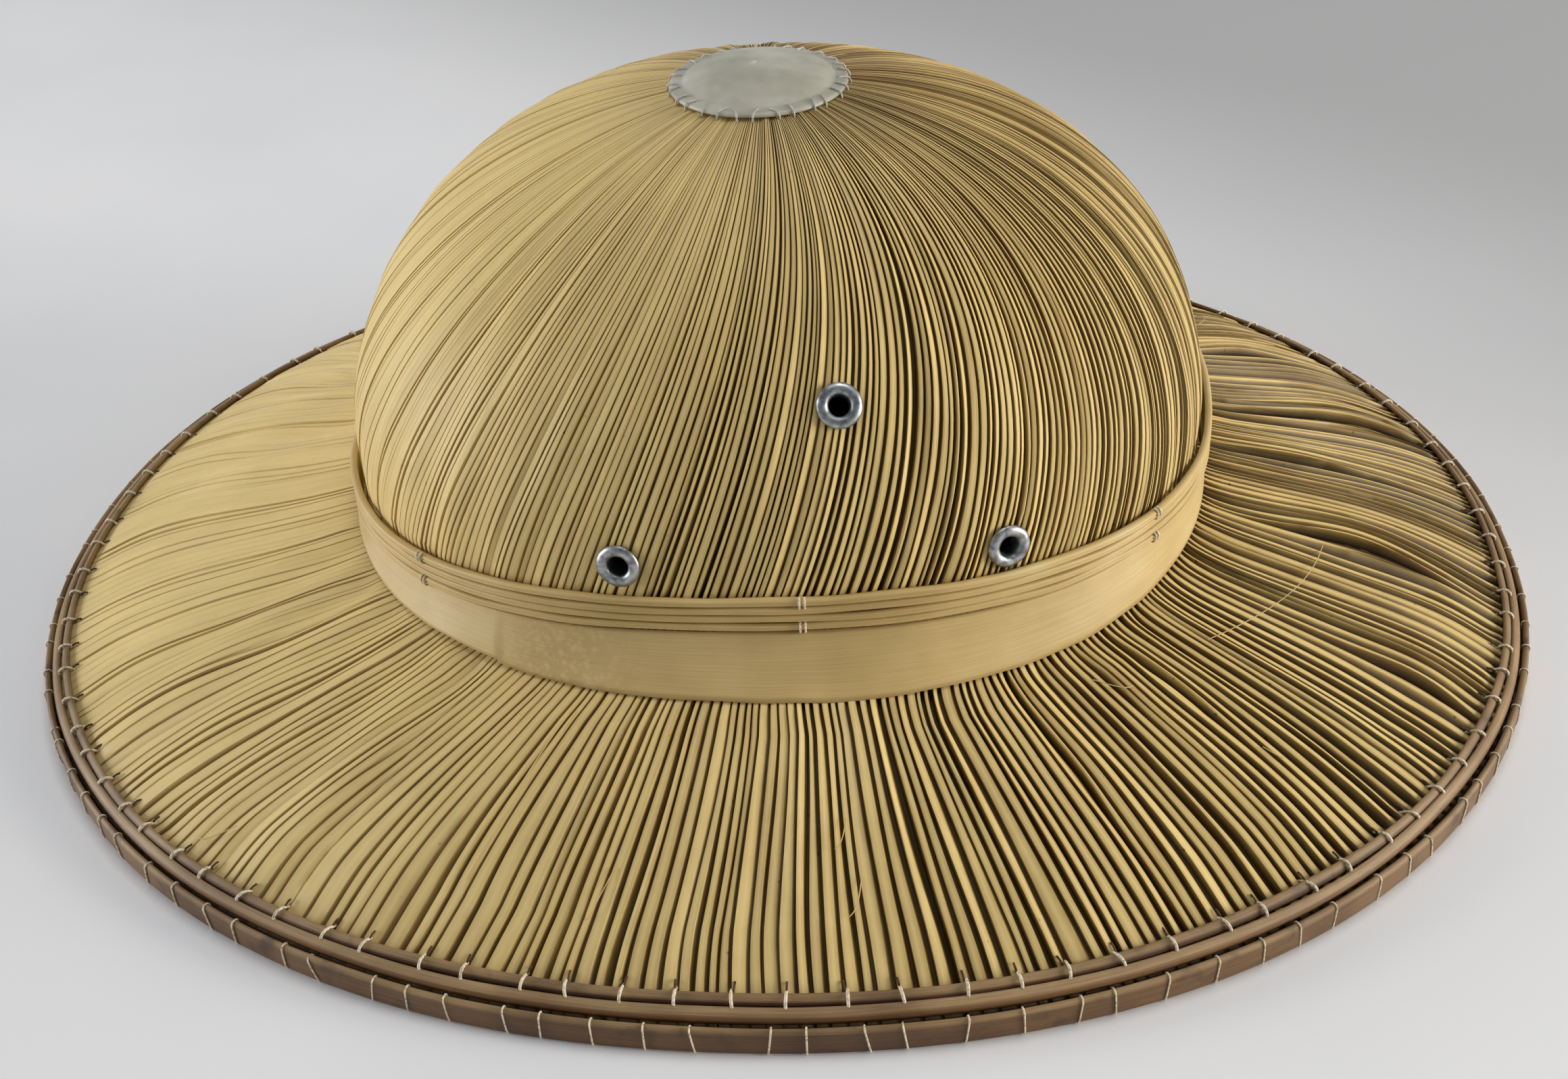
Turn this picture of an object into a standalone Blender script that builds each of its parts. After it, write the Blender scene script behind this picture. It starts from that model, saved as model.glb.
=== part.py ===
"""A pith helmet of pleated palm leaf.

A domed crown and a wide brim of pleated leaf meet under a band of four leaf cords and a
flared leaf strip. Three split hoops bind the brim's edge, a round disc caps the top where the
pleats gather, and three metal eyelets on each side let air in.

The hat stands on its outer hoop. +Z is up, X runs along the hat's length, and the side with
the lower bearings, towards -Y, is the near side. Lengths are in metres.
"""

import math

import bmesh
import bpy
from mathutils import Vector
from mathutils.bvhtree import BVHTree

MM = 0.001

# Plan of the rim and of the crown
RIM_LENGTH = 420 * MM
RIM_WIDTH = 365.4 * MM
RIM_SQUARENESS = 2.105         # exponent of the plan curve: 2 is an ellipse
CROWN_LENGTH = 228.6 * MM
CROWN_WIDTH = 213 * MM
CROWN_SQUARENESS = 2.26
CROWN_SHIFT = 3 * MM           # the crown sits a little off the rim's centre

# Leaf shells
LEAF = 2 * MM                  # thickness of the pleated leaf
CROWN_RISE = 86.5 * MM         # dome above the height where the crown is widest
GATHER_HOLE = 14 * MM          # the pleats end around this hole, under the disc
BRIM_BULGE = 0.35              # how much flatter the brim starts than it ends

# Band around the foot of the crown
BAND_TOP = 62 * MM             # mean height of its top edge, where the crown is widest
BAND_TILT_LENGTH = 0.03        # rise of the top edge along X
BAND_TILT_WIDTH = -0.016       # and along Y
BAND_DIP = 3.4 * MM            # the top edge is lower at the ends and higher at the sides
CORD = 2 * MM                  # thickness of one cord
CORD_COUNT = 4
CORD_SLACK = 1 * MM            # the cords stand off the crown at its two ends
STRIP = 1.3 * MM               # thickness of the leaf strip, measured flat
STRIP_DEPTH = 1.5 * MM         # height of the strip where it is narrowest
FLARE_ENDS = 2.5 * MM          # how far the strip's lower edge stands out at the ends
FLARE_SIDES = 10 * MM          # and at the sides

# Hoops at the edge of the brim
HOOP_OUTER_HEIGHT = 7.5 * MM
HOOP_OUTER_WIDTH = 1.8 * MM
HOOP_CHAMFER = 0.4 * MM
EDGE_DROP = 1.3 * MM           # the leaf's edge lies this far below the outer hoop's top
BINDING_GAP = 0.9 * MM         # leaf edge that shows between the outer and middle hoops
HOOP_MIDDLE_WIDTH = 2.4 * MM
HOOP_MIDDLE_HEIGHT = 1.8 * MM
HOOP_INNER_WIDTH = 2.6 * MM
HOOP_INNER_HEIGHT = 1.9 * MM

# Disc at the top
DISC = 45 * MM
DISC_THICKNESS = 1.2 * MM
DISC_SHIFT = 1.8 * MM          # its centre is a little nearer the rim's centre than the crown's

# Eyelets
EYELET_FLANGE = 10.5 * MM
EYELET_HOLE = 5.4 * MM
EYELET_BARREL = 6.6 * MM       # outside of the tube that goes through the leaf
EYELET_RISE = 1.3 * MM         # the rolled flange stands this far off its seat
EYELET_BACK = 9.2 * MM         # flattened collar inside the crown
EYELET_BACK_THICKNESS = 0.6 * MM
UPPER_EYELET_BEARING = -76.4   # degrees from +X, seen from above
UPPER_EYELET_LIFT = 31.7       # degrees up the dome
LOWER_LEFT_BEARING = -104.0
LOWER_LEFT_CLEARANCE = 2 * MM  # from the band's top edge to the flange
LOWER_RIGHT_BEARING = -58.4
LOWER_RIGHT_CLEARANCE = 0.4 * MM

GAP = 0.3 * MM                 # between pieces that touch
SEGMENTS = 60                  # around every ring
DOME_ROWS = 9
BRIM_ROWS = (0.0, 0.04, 0.18, 0.38, 0.66, 1.0)
CORD_SIDES = 5
DISC_STEPS = 36
EYELET_STEPS = 12

# Sizes that follow from the ones above
CROWN_HALF = (CROWN_LENGTH / 2, CROWN_WIDTH / 2)
RIM_HALF = (RIM_LENGTH / 2, RIM_WIDTH / 2)
FLARE_HALF = (CROWN_HALF[0] + FLARE_ENDS, CROWN_HALF[1] + FLARE_SIDES)
CORD_PITCH = CORD + GAP
STRIP_STEP = STRIP + GAP       # from the strip's outer face to the leaf behind it
LEAF_EDGE_INSET = HOOP_OUTER_WIDTH + GAP
MIDDLE_INSET = HOOP_OUTER_WIDTH + BINDING_GAP
INNER_INSET = MIDDLE_INSET + HOOP_MIDDLE_WIDTH + GAP
BRIM_EDGE = HOOP_OUTER_HEIGHT - EDGE_DROP


def clear_scene():
    for item in list(bpy.data.objects):
        bpy.data.objects.remove(item, do_unlink=True)


def linear(channel):
    """Turn one sRGB channel from 0 to 1 into a linear one."""
    if channel <= 0.04045:
        return channel / 12.92
    return ((channel + 0.055) / 1.055) ** 2.4


def material(name, srgb_hex, roughness, metallic=0.0):
    made = bpy.data.materials.new(name)
    made.use_nodes = True
    shader = made.node_tree.nodes["Principled BSDF"]
    channels = [int(srgb_hex[i:i + 2], 16) / 255 for i in (0, 2, 4)]
    shader.inputs["Base Color"].default_value = [linear(c) for c in channels] + [1.0]
    shader.inputs["Roughness"].default_value = roughness
    shader.inputs["Metallic"].default_value = metallic
    return made


def bearings():
    """The angle of each segment around the hat, from +X."""
    return [2 * math.pi * i / SEGMENTS for i in range(SEGMENTS)]


def plan_point(half, squareness, bearing, shift=0.0):
    """Point of a plan curve with the given half length and half width."""
    c = math.cos(bearing)
    s = math.sin(bearing)
    reach = (abs(c) ** squareness + abs(s) ** squareness) ** (-1 / squareness)
    return Vector((shift + half[0] * reach * c, half[1] * reach * s))


def crown_plan(bearing, offset=0.0, scale=1.0):
    half = ((CROWN_HALF[0] + offset) * scale, (CROWN_HALF[1] + offset) * scale)
    return plan_point(half, CROWN_SQUARENESS, bearing, CROWN_SHIFT)


def flare_plan(bearing, inset=0.0):
    half = (FLARE_HALF[0] - inset, FLARE_HALF[1] - inset)
    return plan_point(half, CROWN_SQUARENESS, bearing, CROWN_SHIFT)


def rim_plan(bearing, inset=0.0):
    return plan_point((RIM_HALF[0] - inset, RIM_HALF[1] - inset), RIM_SQUARENESS, bearing)


def band_top(bearing):
    """Height of the band's top edge."""
    spot = crown_plan(bearing)
    tilt = BAND_TILT_LENGTH * (spot.x - CROWN_SHIFT) + BAND_TILT_WIDTH * spot.y
    return BAND_TOP + tilt - BAND_DIP * math.cos(2 * bearing)


def strip_top(bearing):
    return band_top(bearing) - CORD_COUNT * CORD_PITCH


def brim_root():
    """Height of the leaf's top face where the brim leaves the crown."""
    return min(strip_top(bearing) for bearing in bearings()) - STRIP_DEPTH


ROOT_INSET = STRIP_STEP + GAP + LEAF
BRIM_ROOT = brim_root()


def brim_line(bearing):
    """Plan of the line along which the brim falls, from its root to its edge."""
    return flare_plan(bearing, ROOT_INSET), rim_plan(bearing, LEAF_EDGE_INSET)


def brim_point(bearing, share):
    """Point on the brim's top face, share of the way from its root to its edge."""
    root, edge = brim_line(bearing)
    fall = share - BRIM_BULGE * share * (1 - share)
    height = BRIM_ROOT + (BRIM_EDGE - BRIM_ROOT) * fall
    return Vector((*root.lerp(edge, share), height))


def brim_height(bearing, spot):
    """Height of the brim's faceted top face under a point of the plan."""
    root, edge = brim_line(bearing)
    run = edge - root
    share = min(max((spot - root).dot(run) / run.dot(run), 0.0), 1.0)
    for low, high in zip(BRIM_ROWS, BRIM_ROWS[1:]):
        if share <= high:
            part = (share - low) / (high - low)
            return brim_point(bearing, low).lerp(brim_point(bearing, high), part).z
    return BRIM_EDGE


def add_object(name, bm, finish):
    """Turn a finished bmesh into an object of the scene."""
    bmesh.ops.recalc_face_normals(bm, faces=bm.faces)
    mesh = bpy.data.meshes.new(name)
    bm.to_mesh(mesh)
    bm.free()
    mesh.shade_smooth()
    mesh.set_sharp_from_angle(angle=math.radians(40))
    mesh.materials.append(finish)
    made = bpy.data.objects.new(name, mesh)
    bpy.context.collection.objects.link(made)
    return made


def ring_bmesh(sections):
    """Loft a closed ring through sections, each a function from a bearing to a point."""
    bm = bmesh.new()
    loops = [[bm.verts.new(section(bearing)) for bearing in bearings()] for section in sections]
    for loop, following in zip(loops, loops[1:] + loops[:1]):
        for i in range(SEGMENTS):
            j = (i + 1) % SEGMENTS
            bm.faces.new((loop[i], loop[j], following[j], following[i]))
    return bm


def dome_section(lift, offset):
    """Section of the dome at an angle up from its widest height."""
    def section(bearing):
        spot = crown_plan(bearing, offset, math.cos(lift))
        return Vector((*spot, BAND_TOP + (CROWN_RISE + offset) * math.sin(lift)))
    return section


def wall_section(offset):
    """Section of the crown's wall behind the strip's top edge."""
    def section(bearing):
        return Vector((*crown_plan(bearing, offset), strip_top(bearing)))
    return section


def foot_section(inset):
    """Section of the crown's foot, which stands on the brim."""
    def section(bearing):
        spot = flare_plan(bearing, inset)
        return Vector((*spot, brim_height(bearing, spot) + GAP))
    return section


def crown_bmesh():
    sections = []
    for offset in (0.0, -LEAF):
        top_lift = math.acos(GATHER_HOLE / 2 / (CROWN_HALF[1] + offset))
        lifts = [top_lift * (1 - row / DOME_ROWS) for row in range(DOME_ROWS + 1)]
        face = [dome_section(lift, offset) for lift in lifts]
        face.append(wall_section(offset))
        face.append(foot_section(STRIP_STEP + GAP - offset))
        sections += face if offset == 0.0 else face[::-1]
    return ring_bmesh(sections)


def dome_height(x, y):
    """Height of the dome's outer face above a point of the plan."""
    along = (abs(x) / CROWN_HALF[0]) ** CROWN_SQUARENESS
    across = (abs(y) / CROWN_HALF[1]) ** CROWN_SQUARENESS
    reach = (along + across) ** (1 / CROWN_SQUARENESS)
    return BAND_TOP + CROWN_RISE * math.sqrt(1 - reach * reach)


def make_brim(finish):
    def face(share, drop):
        return lambda bearing: brim_point(bearing, share) - Vector((0, 0, drop))

    top = [face(share, 0.0) for share in BRIM_ROWS]
    under = [face(share, LEAF) for share in reversed(BRIM_ROWS)]
    return add_object("brim_leaf", ring_bmesh(top + under), finish)


def make_cord(number, finish):
    """One cord of the band, counted from the top."""
    def corner(turn):
        def section(bearing):
            middle = GAP + CORD / 2 + CORD_SLACK * math.cos(bearing) ** 2
            spot = crown_plan(bearing, middle + CORD / 2 * math.cos(turn))
            height = band_top(bearing) - CORD / 2 - (number - 1) * CORD_PITCH
            return Vector((*spot, height + CORD / 2 * math.sin(turn)))
        return section

    turns = [2 * math.pi * side / CORD_SIDES for side in range(CORD_SIDES)]
    return add_object(f"band_cord_{number}", ring_bmesh([corner(t) for t in turns]), finish)


def make_strip(finish):
    def upper(offset):
        return lambda bearing: Vector((*crown_plan(bearing, offset), strip_top(bearing)))

    def lower(inset):
        return foot_section(inset)

    sections = [upper(GAP), upper(GAP + STRIP), lower(0.0), lower(STRIP)]
    return add_object("band_strip", ring_bmesh(sections), finish)


def seated_hoop(name, inset, width, height, finish):
    """A hoop that lies on the brim, with chamfered upper edges."""
    def corner(across, up):
        def section(bearing):
            root, edge = brim_line(bearing)
            spot = edge + (across - LEAF_EDGE_INSET) * (root - edge).normalized()
            return Vector((*spot, brim_height(bearing, spot) + GAP + up))
        return section

    shoulder = height - HOOP_CHAMFER
    sections = [
        corner(inset, 0.0),
        corner(inset, shoulder),
        corner(inset + HOOP_CHAMFER, height),
        corner(inset + width - HOOP_CHAMFER, height),
        corner(inset + width, shoulder),
        corner(inset + width, 0.0),
    ]
    return add_object(name, ring_bmesh(sections), finish)


def make_outer_hoop(finish):
    """The hoop that the hat stands on."""
    def corner(inset, height):
        return lambda bearing: Vector((*rim_plan(bearing, inset), height))

    sections = [
        corner(HOOP_CHAMFER, 0.0),
        corner(0.0, HOOP_CHAMFER),
        corner(0.0, HOOP_OUTER_HEIGHT - HOOP_CHAMFER),
        corner(HOOP_CHAMFER, HOOP_OUTER_HEIGHT),
        corner(HOOP_OUTER_WIDTH, HOOP_OUTER_HEIGHT),
        corner(HOOP_OUTER_WIDTH, 0.0),
    ]
    return add_object("hoop_outer", ring_bmesh(sections), finish)


def spun(profile, steps):
    """Spin a closed profile of (radius, height) corners about Z."""
    bm = bmesh.new()
    corners = [bm.verts.new((radius, 0, height)) for radius, height in profile]
    edges = [bm.edges.new(pair) for pair in zip(corners, corners[1:] + corners[:1])]
    bmesh.ops.spin(bm, geom=corners + edges, axis=(0, 0, 1), cent=(0, 0, 0),
                   steps=steps, angle=2 * math.pi, use_merge=True)
    return bm


def make_disc(finish):
    """A thin cap that follows the top of the dome."""
    def seat(radius):
        aside = DISC_SHIFT - CROWN_SHIFT
        spots = [(aside + radius * math.cos(b), radius * math.sin(b)) for b in bearings()]
        return max(dome_height(x, y) for x, y in spots) + GAP

    radii = [DISC / 2 * share for share in (0.0, 0.3, 0.55, 0.8, 1.0)]
    under = [(radius, seat(radius)) for radius in radii]
    over = [(radius, height + DISC_THICKNESS) for radius, height in reversed(under)]
    bm = spun(under + over, DISC_STEPS)
    bmesh.ops.remove_doubles(bm, verts=bm.verts, dist=0.001 * MM)
    flat = [face for face in bm.faces if face.calc_area() < 1e-12]
    bmesh.ops.delete(bm, geom=flat, context="FACES")
    made = add_object("top_disc", bm, finish)
    made.location.x = DISC_SHIFT
    return made


def dome_frame(bearing, lift):
    """Point on the dome's outer face, and the direction straight out of it there."""
    spot = dome_section(lift, 0.0)(bearing)
    step = 1e-4
    along = dome_section(lift, 0.0)(bearing + step) - spot
    up = dome_section(lift + step, 0.0)(bearing) - spot
    return spot, along.cross(up).normalized()


def wall_span(tree, spot, out, reach):
    """Highest outer and lowest inner face of the wall under a flange, measured along out."""
    side = out.orthogonal().normalized()
    front = out.cross(side)
    outer = []
    inner = []
    for step in range(EYELET_STEPS):
        turn = 2 * math.pi * step / EYELET_STEPS
        for radius in (0.0, reach):
            probe = spot + radius * (math.cos(turn) * side + math.sin(turn) * front)
            hit = tree.ray_cast(probe + 10 * LEAF * out, -out)[0]
            outer.append((hit - spot).dot(out))
            hit = tree.ray_cast(probe - 10 * LEAF * out, out)[0]
            inner.append((hit - spot).dot(out))
    return max(outer), min(inner)


def make_eyelet(name, tree, bearing, lift, finish):
    """An eyelet set square to the dome, and the round cutter for its hole in the leaf."""
    spot, out = dome_frame(bearing, lift)
    high, low = wall_span(tree, spot, out, EYELET_FLANGE / 2)
    flange = EYELET_FLANGE / 2
    hole = EYELET_HOLE / 2
    barrel = EYELET_BARREL / 2
    back = EYELET_BACK / 2
    seat = high + GAP
    collar = low - GAP
    crest = seat + EYELET_RISE
    profile = [
        (barrel, seat),
        (flange, seat),
        (flange, seat + 0.45 * EYELET_RISE),
        (hole + 0.6 * (flange - hole), crest),
        (hole + 0.3 * (flange - hole), crest),
        (hole, seat + 0.4 * EYELET_RISE),
        (hole, collar - EYELET_BACK_THICKNESS),
        (back, collar - EYELET_BACK_THICKNESS),
        (back, collar),
        (barrel, collar),
    ]
    turn = out.to_track_quat("Z", "Y")
    made = add_object(name, spun(profile, EYELET_STEPS), finish)
    made.location = spot
    made.rotation_mode = "QUATERNION"
    made.rotation_quaternion = turn

    bm = bmesh.new()
    bmesh.ops.create_cone(bm, cap_ends=True, segments=EYELET_STEPS, radius1=barrel + GAP,
                          radius2=barrel + GAP, depth=2 * EYELET_FLANGE)
    cutter = add_object(f"cut_{name}", bm, finish)
    cutter.location = spot
    cutter.rotation_mode = "QUATERNION"
    cutter.rotation_quaternion = turn
    cutter.hide_render = True
    cutter.display_type = "WIRE"
    return cutter


def lower_lift(bearing, clearance):
    """Angle up the dome that puts a flange just above the band."""
    height = band_top(bearing) + clearance + EYELET_FLANGE / 2
    return math.asin((height - BAND_TOP) / CROWN_RISE)


def eyelet_places():
    """Name, bearing and lift of each eyelet: the far side mirrors the near side."""
    near = (
        ("upper", UPPER_EYELET_BEARING, None),
        ("left", LOWER_LEFT_BEARING, LOWER_LEFT_CLEARANCE),
        ("right", LOWER_RIGHT_BEARING, LOWER_RIGHT_CLEARANCE),
    )
    for side, sign in (("near", 1), ("far", -1)):
        for place, degrees, clearance in near:
            bearing = math.radians(sign * degrees)
            if clearance is None:
                lift = math.radians(UPPER_EYELET_LIFT)
            else:
                lift = lower_lift(bearing, clearance)
            yield f"eyelet_{side}_{place}", bearing, lift


def make_crown(leaf, steel):
    """The pleated crown, with the eyelets and their holes."""
    bm = crown_bmesh()
    bm.normal_update()
    tree = BVHTree.FromBMesh(bm)
    crown = add_object("crown_leaf", bm, leaf)
    for name, bearing, lift in eyelet_places():
        cutter = make_eyelet(name, tree, bearing, lift, steel)
        hole = crown.modifiers.new(name, "BOOLEAN")
        hole.operation = "DIFFERENCE"
        hole.object = cutter
    return crown


def main():
    clear_scene()
    leaf = material("pleated_leaf", "b09b68", 0.62)
    plain_leaf = material("plain_leaf", "b09a60", 0.5)
    dark_cane = material("dark_cane", "6c543d", 0.55)
    light_cane = material("light_cane", "94774f", 0.5)
    plastic = material("disc_plastic", "a19f8c", 0.35)
    steel = material("eyelet_steel", "9aa0a6", 0.3, 1.0)

    make_crown(leaf, steel)
    make_brim(leaf)
    for number in range(1, CORD_COUNT + 1):
        make_cord(number, plain_leaf)
    make_strip(plain_leaf)
    seated_hoop("hoop_inner", INNER_INSET, HOOP_INNER_WIDTH, HOOP_INNER_HEIGHT, dark_cane)
    seated_hoop("hoop_middle", MIDDLE_INSET, HOOP_MIDDLE_WIDTH, HOOP_MIDDLE_HEIGHT, light_cane)
    make_outer_hoop(dark_cane)
    make_disc(plastic)


main()
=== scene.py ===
"""Looks of a pith helmet of pleated palm leaf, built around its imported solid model.

The crown and the brim are modelled pleat by pleat. The band, the cane hoops, the disc and the
eyelets follow the solids' own sizes, and the binding threads, knots and loose fibres are added.
+Z is up, X runs along the hat's length, and the near side is towards -Y.
"""

import math

import bpy
import numpy as np
from bpy.props import FloatProperty, FloatVectorProperty, IntProperty, PointerProperty
from mathutils import Matrix, Vector


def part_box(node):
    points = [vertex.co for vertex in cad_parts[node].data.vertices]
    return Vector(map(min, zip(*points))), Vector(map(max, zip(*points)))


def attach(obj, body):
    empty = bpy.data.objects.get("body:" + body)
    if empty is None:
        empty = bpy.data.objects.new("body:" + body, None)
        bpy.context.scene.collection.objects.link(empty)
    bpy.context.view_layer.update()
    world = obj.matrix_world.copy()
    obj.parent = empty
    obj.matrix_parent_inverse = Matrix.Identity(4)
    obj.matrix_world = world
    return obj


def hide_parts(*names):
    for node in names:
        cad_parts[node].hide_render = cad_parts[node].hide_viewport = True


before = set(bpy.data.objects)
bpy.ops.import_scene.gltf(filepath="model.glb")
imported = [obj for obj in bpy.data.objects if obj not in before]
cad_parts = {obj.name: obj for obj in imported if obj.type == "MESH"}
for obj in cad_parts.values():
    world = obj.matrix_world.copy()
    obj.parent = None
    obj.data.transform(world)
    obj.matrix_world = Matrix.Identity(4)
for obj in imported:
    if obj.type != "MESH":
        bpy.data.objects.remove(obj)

bl_info = {
    "name": "Pith Helmet of Pleated Leaf",
    "version": (1, 0, 0),
    "blender": (4, 5, 0),
    "location": "View3D > Sidebar > Helmet",
    "description": "Builds the leaf, cane, thread and metal of a pleated sun helmet",
    "category": "Object",
}

MM = 0.001
BODY = "root"
SEAM = 1e-6                    # corners of a rolled sheet that meet are this close
FOLD_ANGLE = math.radians(32)  # folds sharper than this stay crisp

# Plan curves and heights, the same as the solids'
RIM_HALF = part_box("hoop_outer")[1].xy
RIM_SQUARENESS = 2.105
CROWN_HALF = (114.3 * MM, 106.5 * MM)
FLARE_HALF = (116.8 * MM, 116.5 * MM)
CROWN_SQUARENESS = 2.26
CROWN_SHIFT = 3 * MM
CROWN_RISE = 86.5 * MM
GATHER_RADIUS = 7 * MM
LEAF = 2 * MM
BAND_TOP = 62 * MM
BAND_TILT = (0.03, -0.016)
BAND_DIP = 3.4 * MM
CORD = 2 * MM
CORD_PITCH = 2.3 * MM
CORD_COUNT = 4
CORD_SLACK = 1 * MM
STRIP = 1.3 * MM
STRIP_DEPTH = 1.5 * MM
GAP = 0.3 * MM
ROOT_INSET = 3.9 * MM
EDGE_INSET = 2.1 * MM
BRIM_EDGE = 6.2 * MM
BRIM_BULGE = 0.35
HOOP_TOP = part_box("hoop_outer")[1].z
HOOP_WIDTH = 1.8 * MM
MIDDLE_INSET = 2.7 * MM
INNER_INSET = 5.4 * MM
DISC_SHIFT = 1.8 * MM
EYELET_RISE = 1.3 * MM

# Camera, fitted to the photo
CAMERA_AZIMUTH = math.radians(6.489)
CAMERA_ELEVATION = math.radians(35.76)
CAMERA_ROLL = math.radians(-3.04)
CAMERA_DISTANCE = 550 * MM
CAMERA_TARGET = Vector((1.1 * MM, 8.2 * MM, 0))
CAMERA_LENS = 41.9
CAMERA_SENSOR = 36


def linear(channel):
    """Turn one sRGB channel from 0 to 1 into a linear one."""
    if channel <= 0.04045:
        return channel / 12.92
    return ((channel + 0.055) / 1.055) ** 2.4


def colour(srgb_hex):
    """Linear colour with full alpha from an sRGB hex value."""
    return (*(linear(int(srgb_hex[i:i + 2], 16) / 255) for i in (0, 2, 4)), 1.0)


# Settings that a user would change

def length(name, description, default):
    return FloatProperty(name=name, description=description, default=default * MM, unit="LENGTH")


def tint(name, description, srgb_hex):
    return FloatVectorProperty(name=name, description=description, subtype="COLOR", size=4,
                               default=colour(srgb_hex))


class HelmetSizes(bpy.types.PropertyGroup):
    """Counts and sizes of the leaf, thread and trim"""
    pleats: IntProperty(name="Pleats", description="Pleats around the hat", default=365,
                        min=120, max=370)
    groove: length("Groove depth", "Depth of a pleat's groove", 1.5)
    stitch_pitch: length("Stitch pitch", "Distance between hoop threads", 12.4)
    thread: length("Thread", "Thickness of the thick binding thread", 0.75)
    fine_thread: length("Fine thread", "Thickness of the rim's thread", 0.45)
    disc_radius: length("Disc radius", "Radius of the top disc", 22.5)


class HelmetColours(bpy.types.PropertyGroup):
    """Main colours of the finishes"""
    leaf: tint("Leaf", "Dried palm leaf", "e0c27c")
    cane: tint("Cane", "Split cane of the hoops", "aa8a5e")
    thread: tint("Thread", "Cotton binding thread", "ebe0c4")
    plastic: tint("Disc", "Frosted plastic", "c2c0af")
    steel: tint("Eyelets", "Plated steel", "c3c6c8")


# Shapes of the hat, as arrays of bearings

def plan_curve(half, squareness, bearing, shift=0.0):
    c = np.cos(bearing)
    s = np.sin(bearing)
    reach = (np.abs(c) ** squareness + np.abs(s) ** squareness) ** (-1 / squareness)
    return np.stack((shift + half[0] * reach * c, half[1] * reach * s), -1)


def crown_plan(bearing, offset=0.0, scale=1.0):
    half = ((CROWN_HALF[0] + offset) * scale, (CROWN_HALF[1] + offset) * scale)
    return plan_curve(half, CROWN_SQUARENESS, bearing, CROWN_SHIFT)


def flare_plan(bearing, inset=0.0):
    half = (FLARE_HALF[0] - inset, FLARE_HALF[1] - inset)
    return plan_curve(half, CROWN_SQUARENESS, bearing, CROWN_SHIFT)


def rim_plan(bearing, inset=0.0):
    return plan_curve((RIM_HALF[0] - inset, RIM_HALF[1] - inset), RIM_SQUARENESS, bearing)


def band_top(bearing):
    """Height of the band's top edge."""
    spot = crown_plan(bearing)
    tilt = BAND_TILT[0] * (spot[..., 0] - CROWN_SHIFT) + BAND_TILT[1] * spot[..., 1]
    return BAND_TOP + tilt - BAND_DIP * np.cos(2 * bearing)


def strip_top(bearing):
    return band_top(bearing) - CORD_COUNT * CORD_PITCH


AROUND = np.linspace(0, 2 * np.pi, 60, endpoint=False)
BRIM_ROOT = strip_top(AROUND).min() - STRIP_DEPTH


def brim_fall(share):
    """Height of the brim's top face, share of the way from its root to its edge."""
    return BRIM_ROOT + (BRIM_EDGE - BRIM_ROOT) * (share - BRIM_BULGE * share * (1 - share))


def brim_share(bearing, inset):
    """Share of the way down the brim of a place inset from the rim."""
    run = np.linalg.norm(rim_plan(bearing, EDGE_INSET) - flare_plan(bearing, ROOT_INSET), axis=-1)
    return 1 - (inset - EDGE_INSET) / run


def brim_place(bearing, share, lift=0.0):
    """Places on the brim's top face, raised by lift."""
    root = flare_plan(bearing, ROOT_INSET)
    edge = rim_plan(bearing, EDGE_INSET)
    share = np.broadcast_to(share, np.shape(bearing))
    spot = root + (edge - root) * share[..., None]
    return np.concatenate((spot, (brim_fall(share) + lift)[..., None]), -1)


def dome_place(bearing, lift, offset=0.0):
    """Places on the crown's dome at an angle up from its widest height."""
    half = (CROWN_HALF[0] + offset, CROWN_HALF[1] + offset)
    c = np.cos(bearing)
    s = np.sin(bearing)
    reach = (np.abs(c) ** CROWN_SQUARENESS + np.abs(s) ** CROWN_SQUARENESS)
    reach = reach ** (-1 / CROWN_SQUARENESS) * np.cos(lift)
    height = BAND_TOP + (CROWN_RISE + offset) * np.sin(lift)
    return np.stack((CROWN_SHIFT + half[0] * reach * c, half[1] * reach * s,
                     height + 0 * bearing), -1)


def signed_degrees(bearing):
    return np.degrees(np.angle(np.exp(1j * bearing)))


def smooth_step(value, low, high):
    part = np.clip((value - low) / (high - low), 0.0, 1.0)
    return part * part * (3 - 2 * part)


def ripples(seed, waves, around, along):
    """A smooth uneven height from -1 to 1 over bearing and share, the same on each run."""
    rng = np.random.default_rng(seed)
    turns = rng.integers(1, around + 1, waves)
    runs = rng.uniform(0, along, waves)
    phases = rng.uniform(0, 2 * np.pi, waves)

    def height(bearing, share):
        total = 0.0
        for turn, run, phase in zip(turns, runs, phases):
            total = total + np.sin(turn * bearing + 2 * np.pi * run * share + phase)
        return total / math.sqrt(waves)
    return height


# Modelling helpers

def start_fresh():
    if bpy.context.object and bpy.context.object.mode != "OBJECT":
        bpy.ops.object.mode_set(mode="OBJECT")
    bpy.ops.object.select_all(action="DESELECT")


def pick(*pieces):
    """Select the pieces alone, with the first one active."""
    start_fresh()
    for piece in pieces:
        piece.select_set(True)
    bpy.context.view_layer.objects.active = pieces[0]


def joined(pieces, name):
    pick(*pieces)
    bpy.ops.object.join()
    piece = bpy.context.object
    piece.name = name
    return piece


def crisp_folds(piece):
    """Keep a pleat's folds sharp and its faces smooth along their length."""
    pick(piece)
    bpy.ops.object.shade_smooth_by_angle(angle=FOLD_ANGLE)


def merge_seams():
    """Merge the corners that meet, turn the faces outwards and shade them smooth."""
    bpy.ops.mesh.select_all(action="SELECT")
    bpy.ops.mesh.remove_doubles(threshold=SEAM)
    bpy.ops.mesh.normals_make_consistent(inside=False)
    bpy.ops.object.mode_set(mode="OBJECT")
    bpy.ops.object.shade_smooth()


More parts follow.
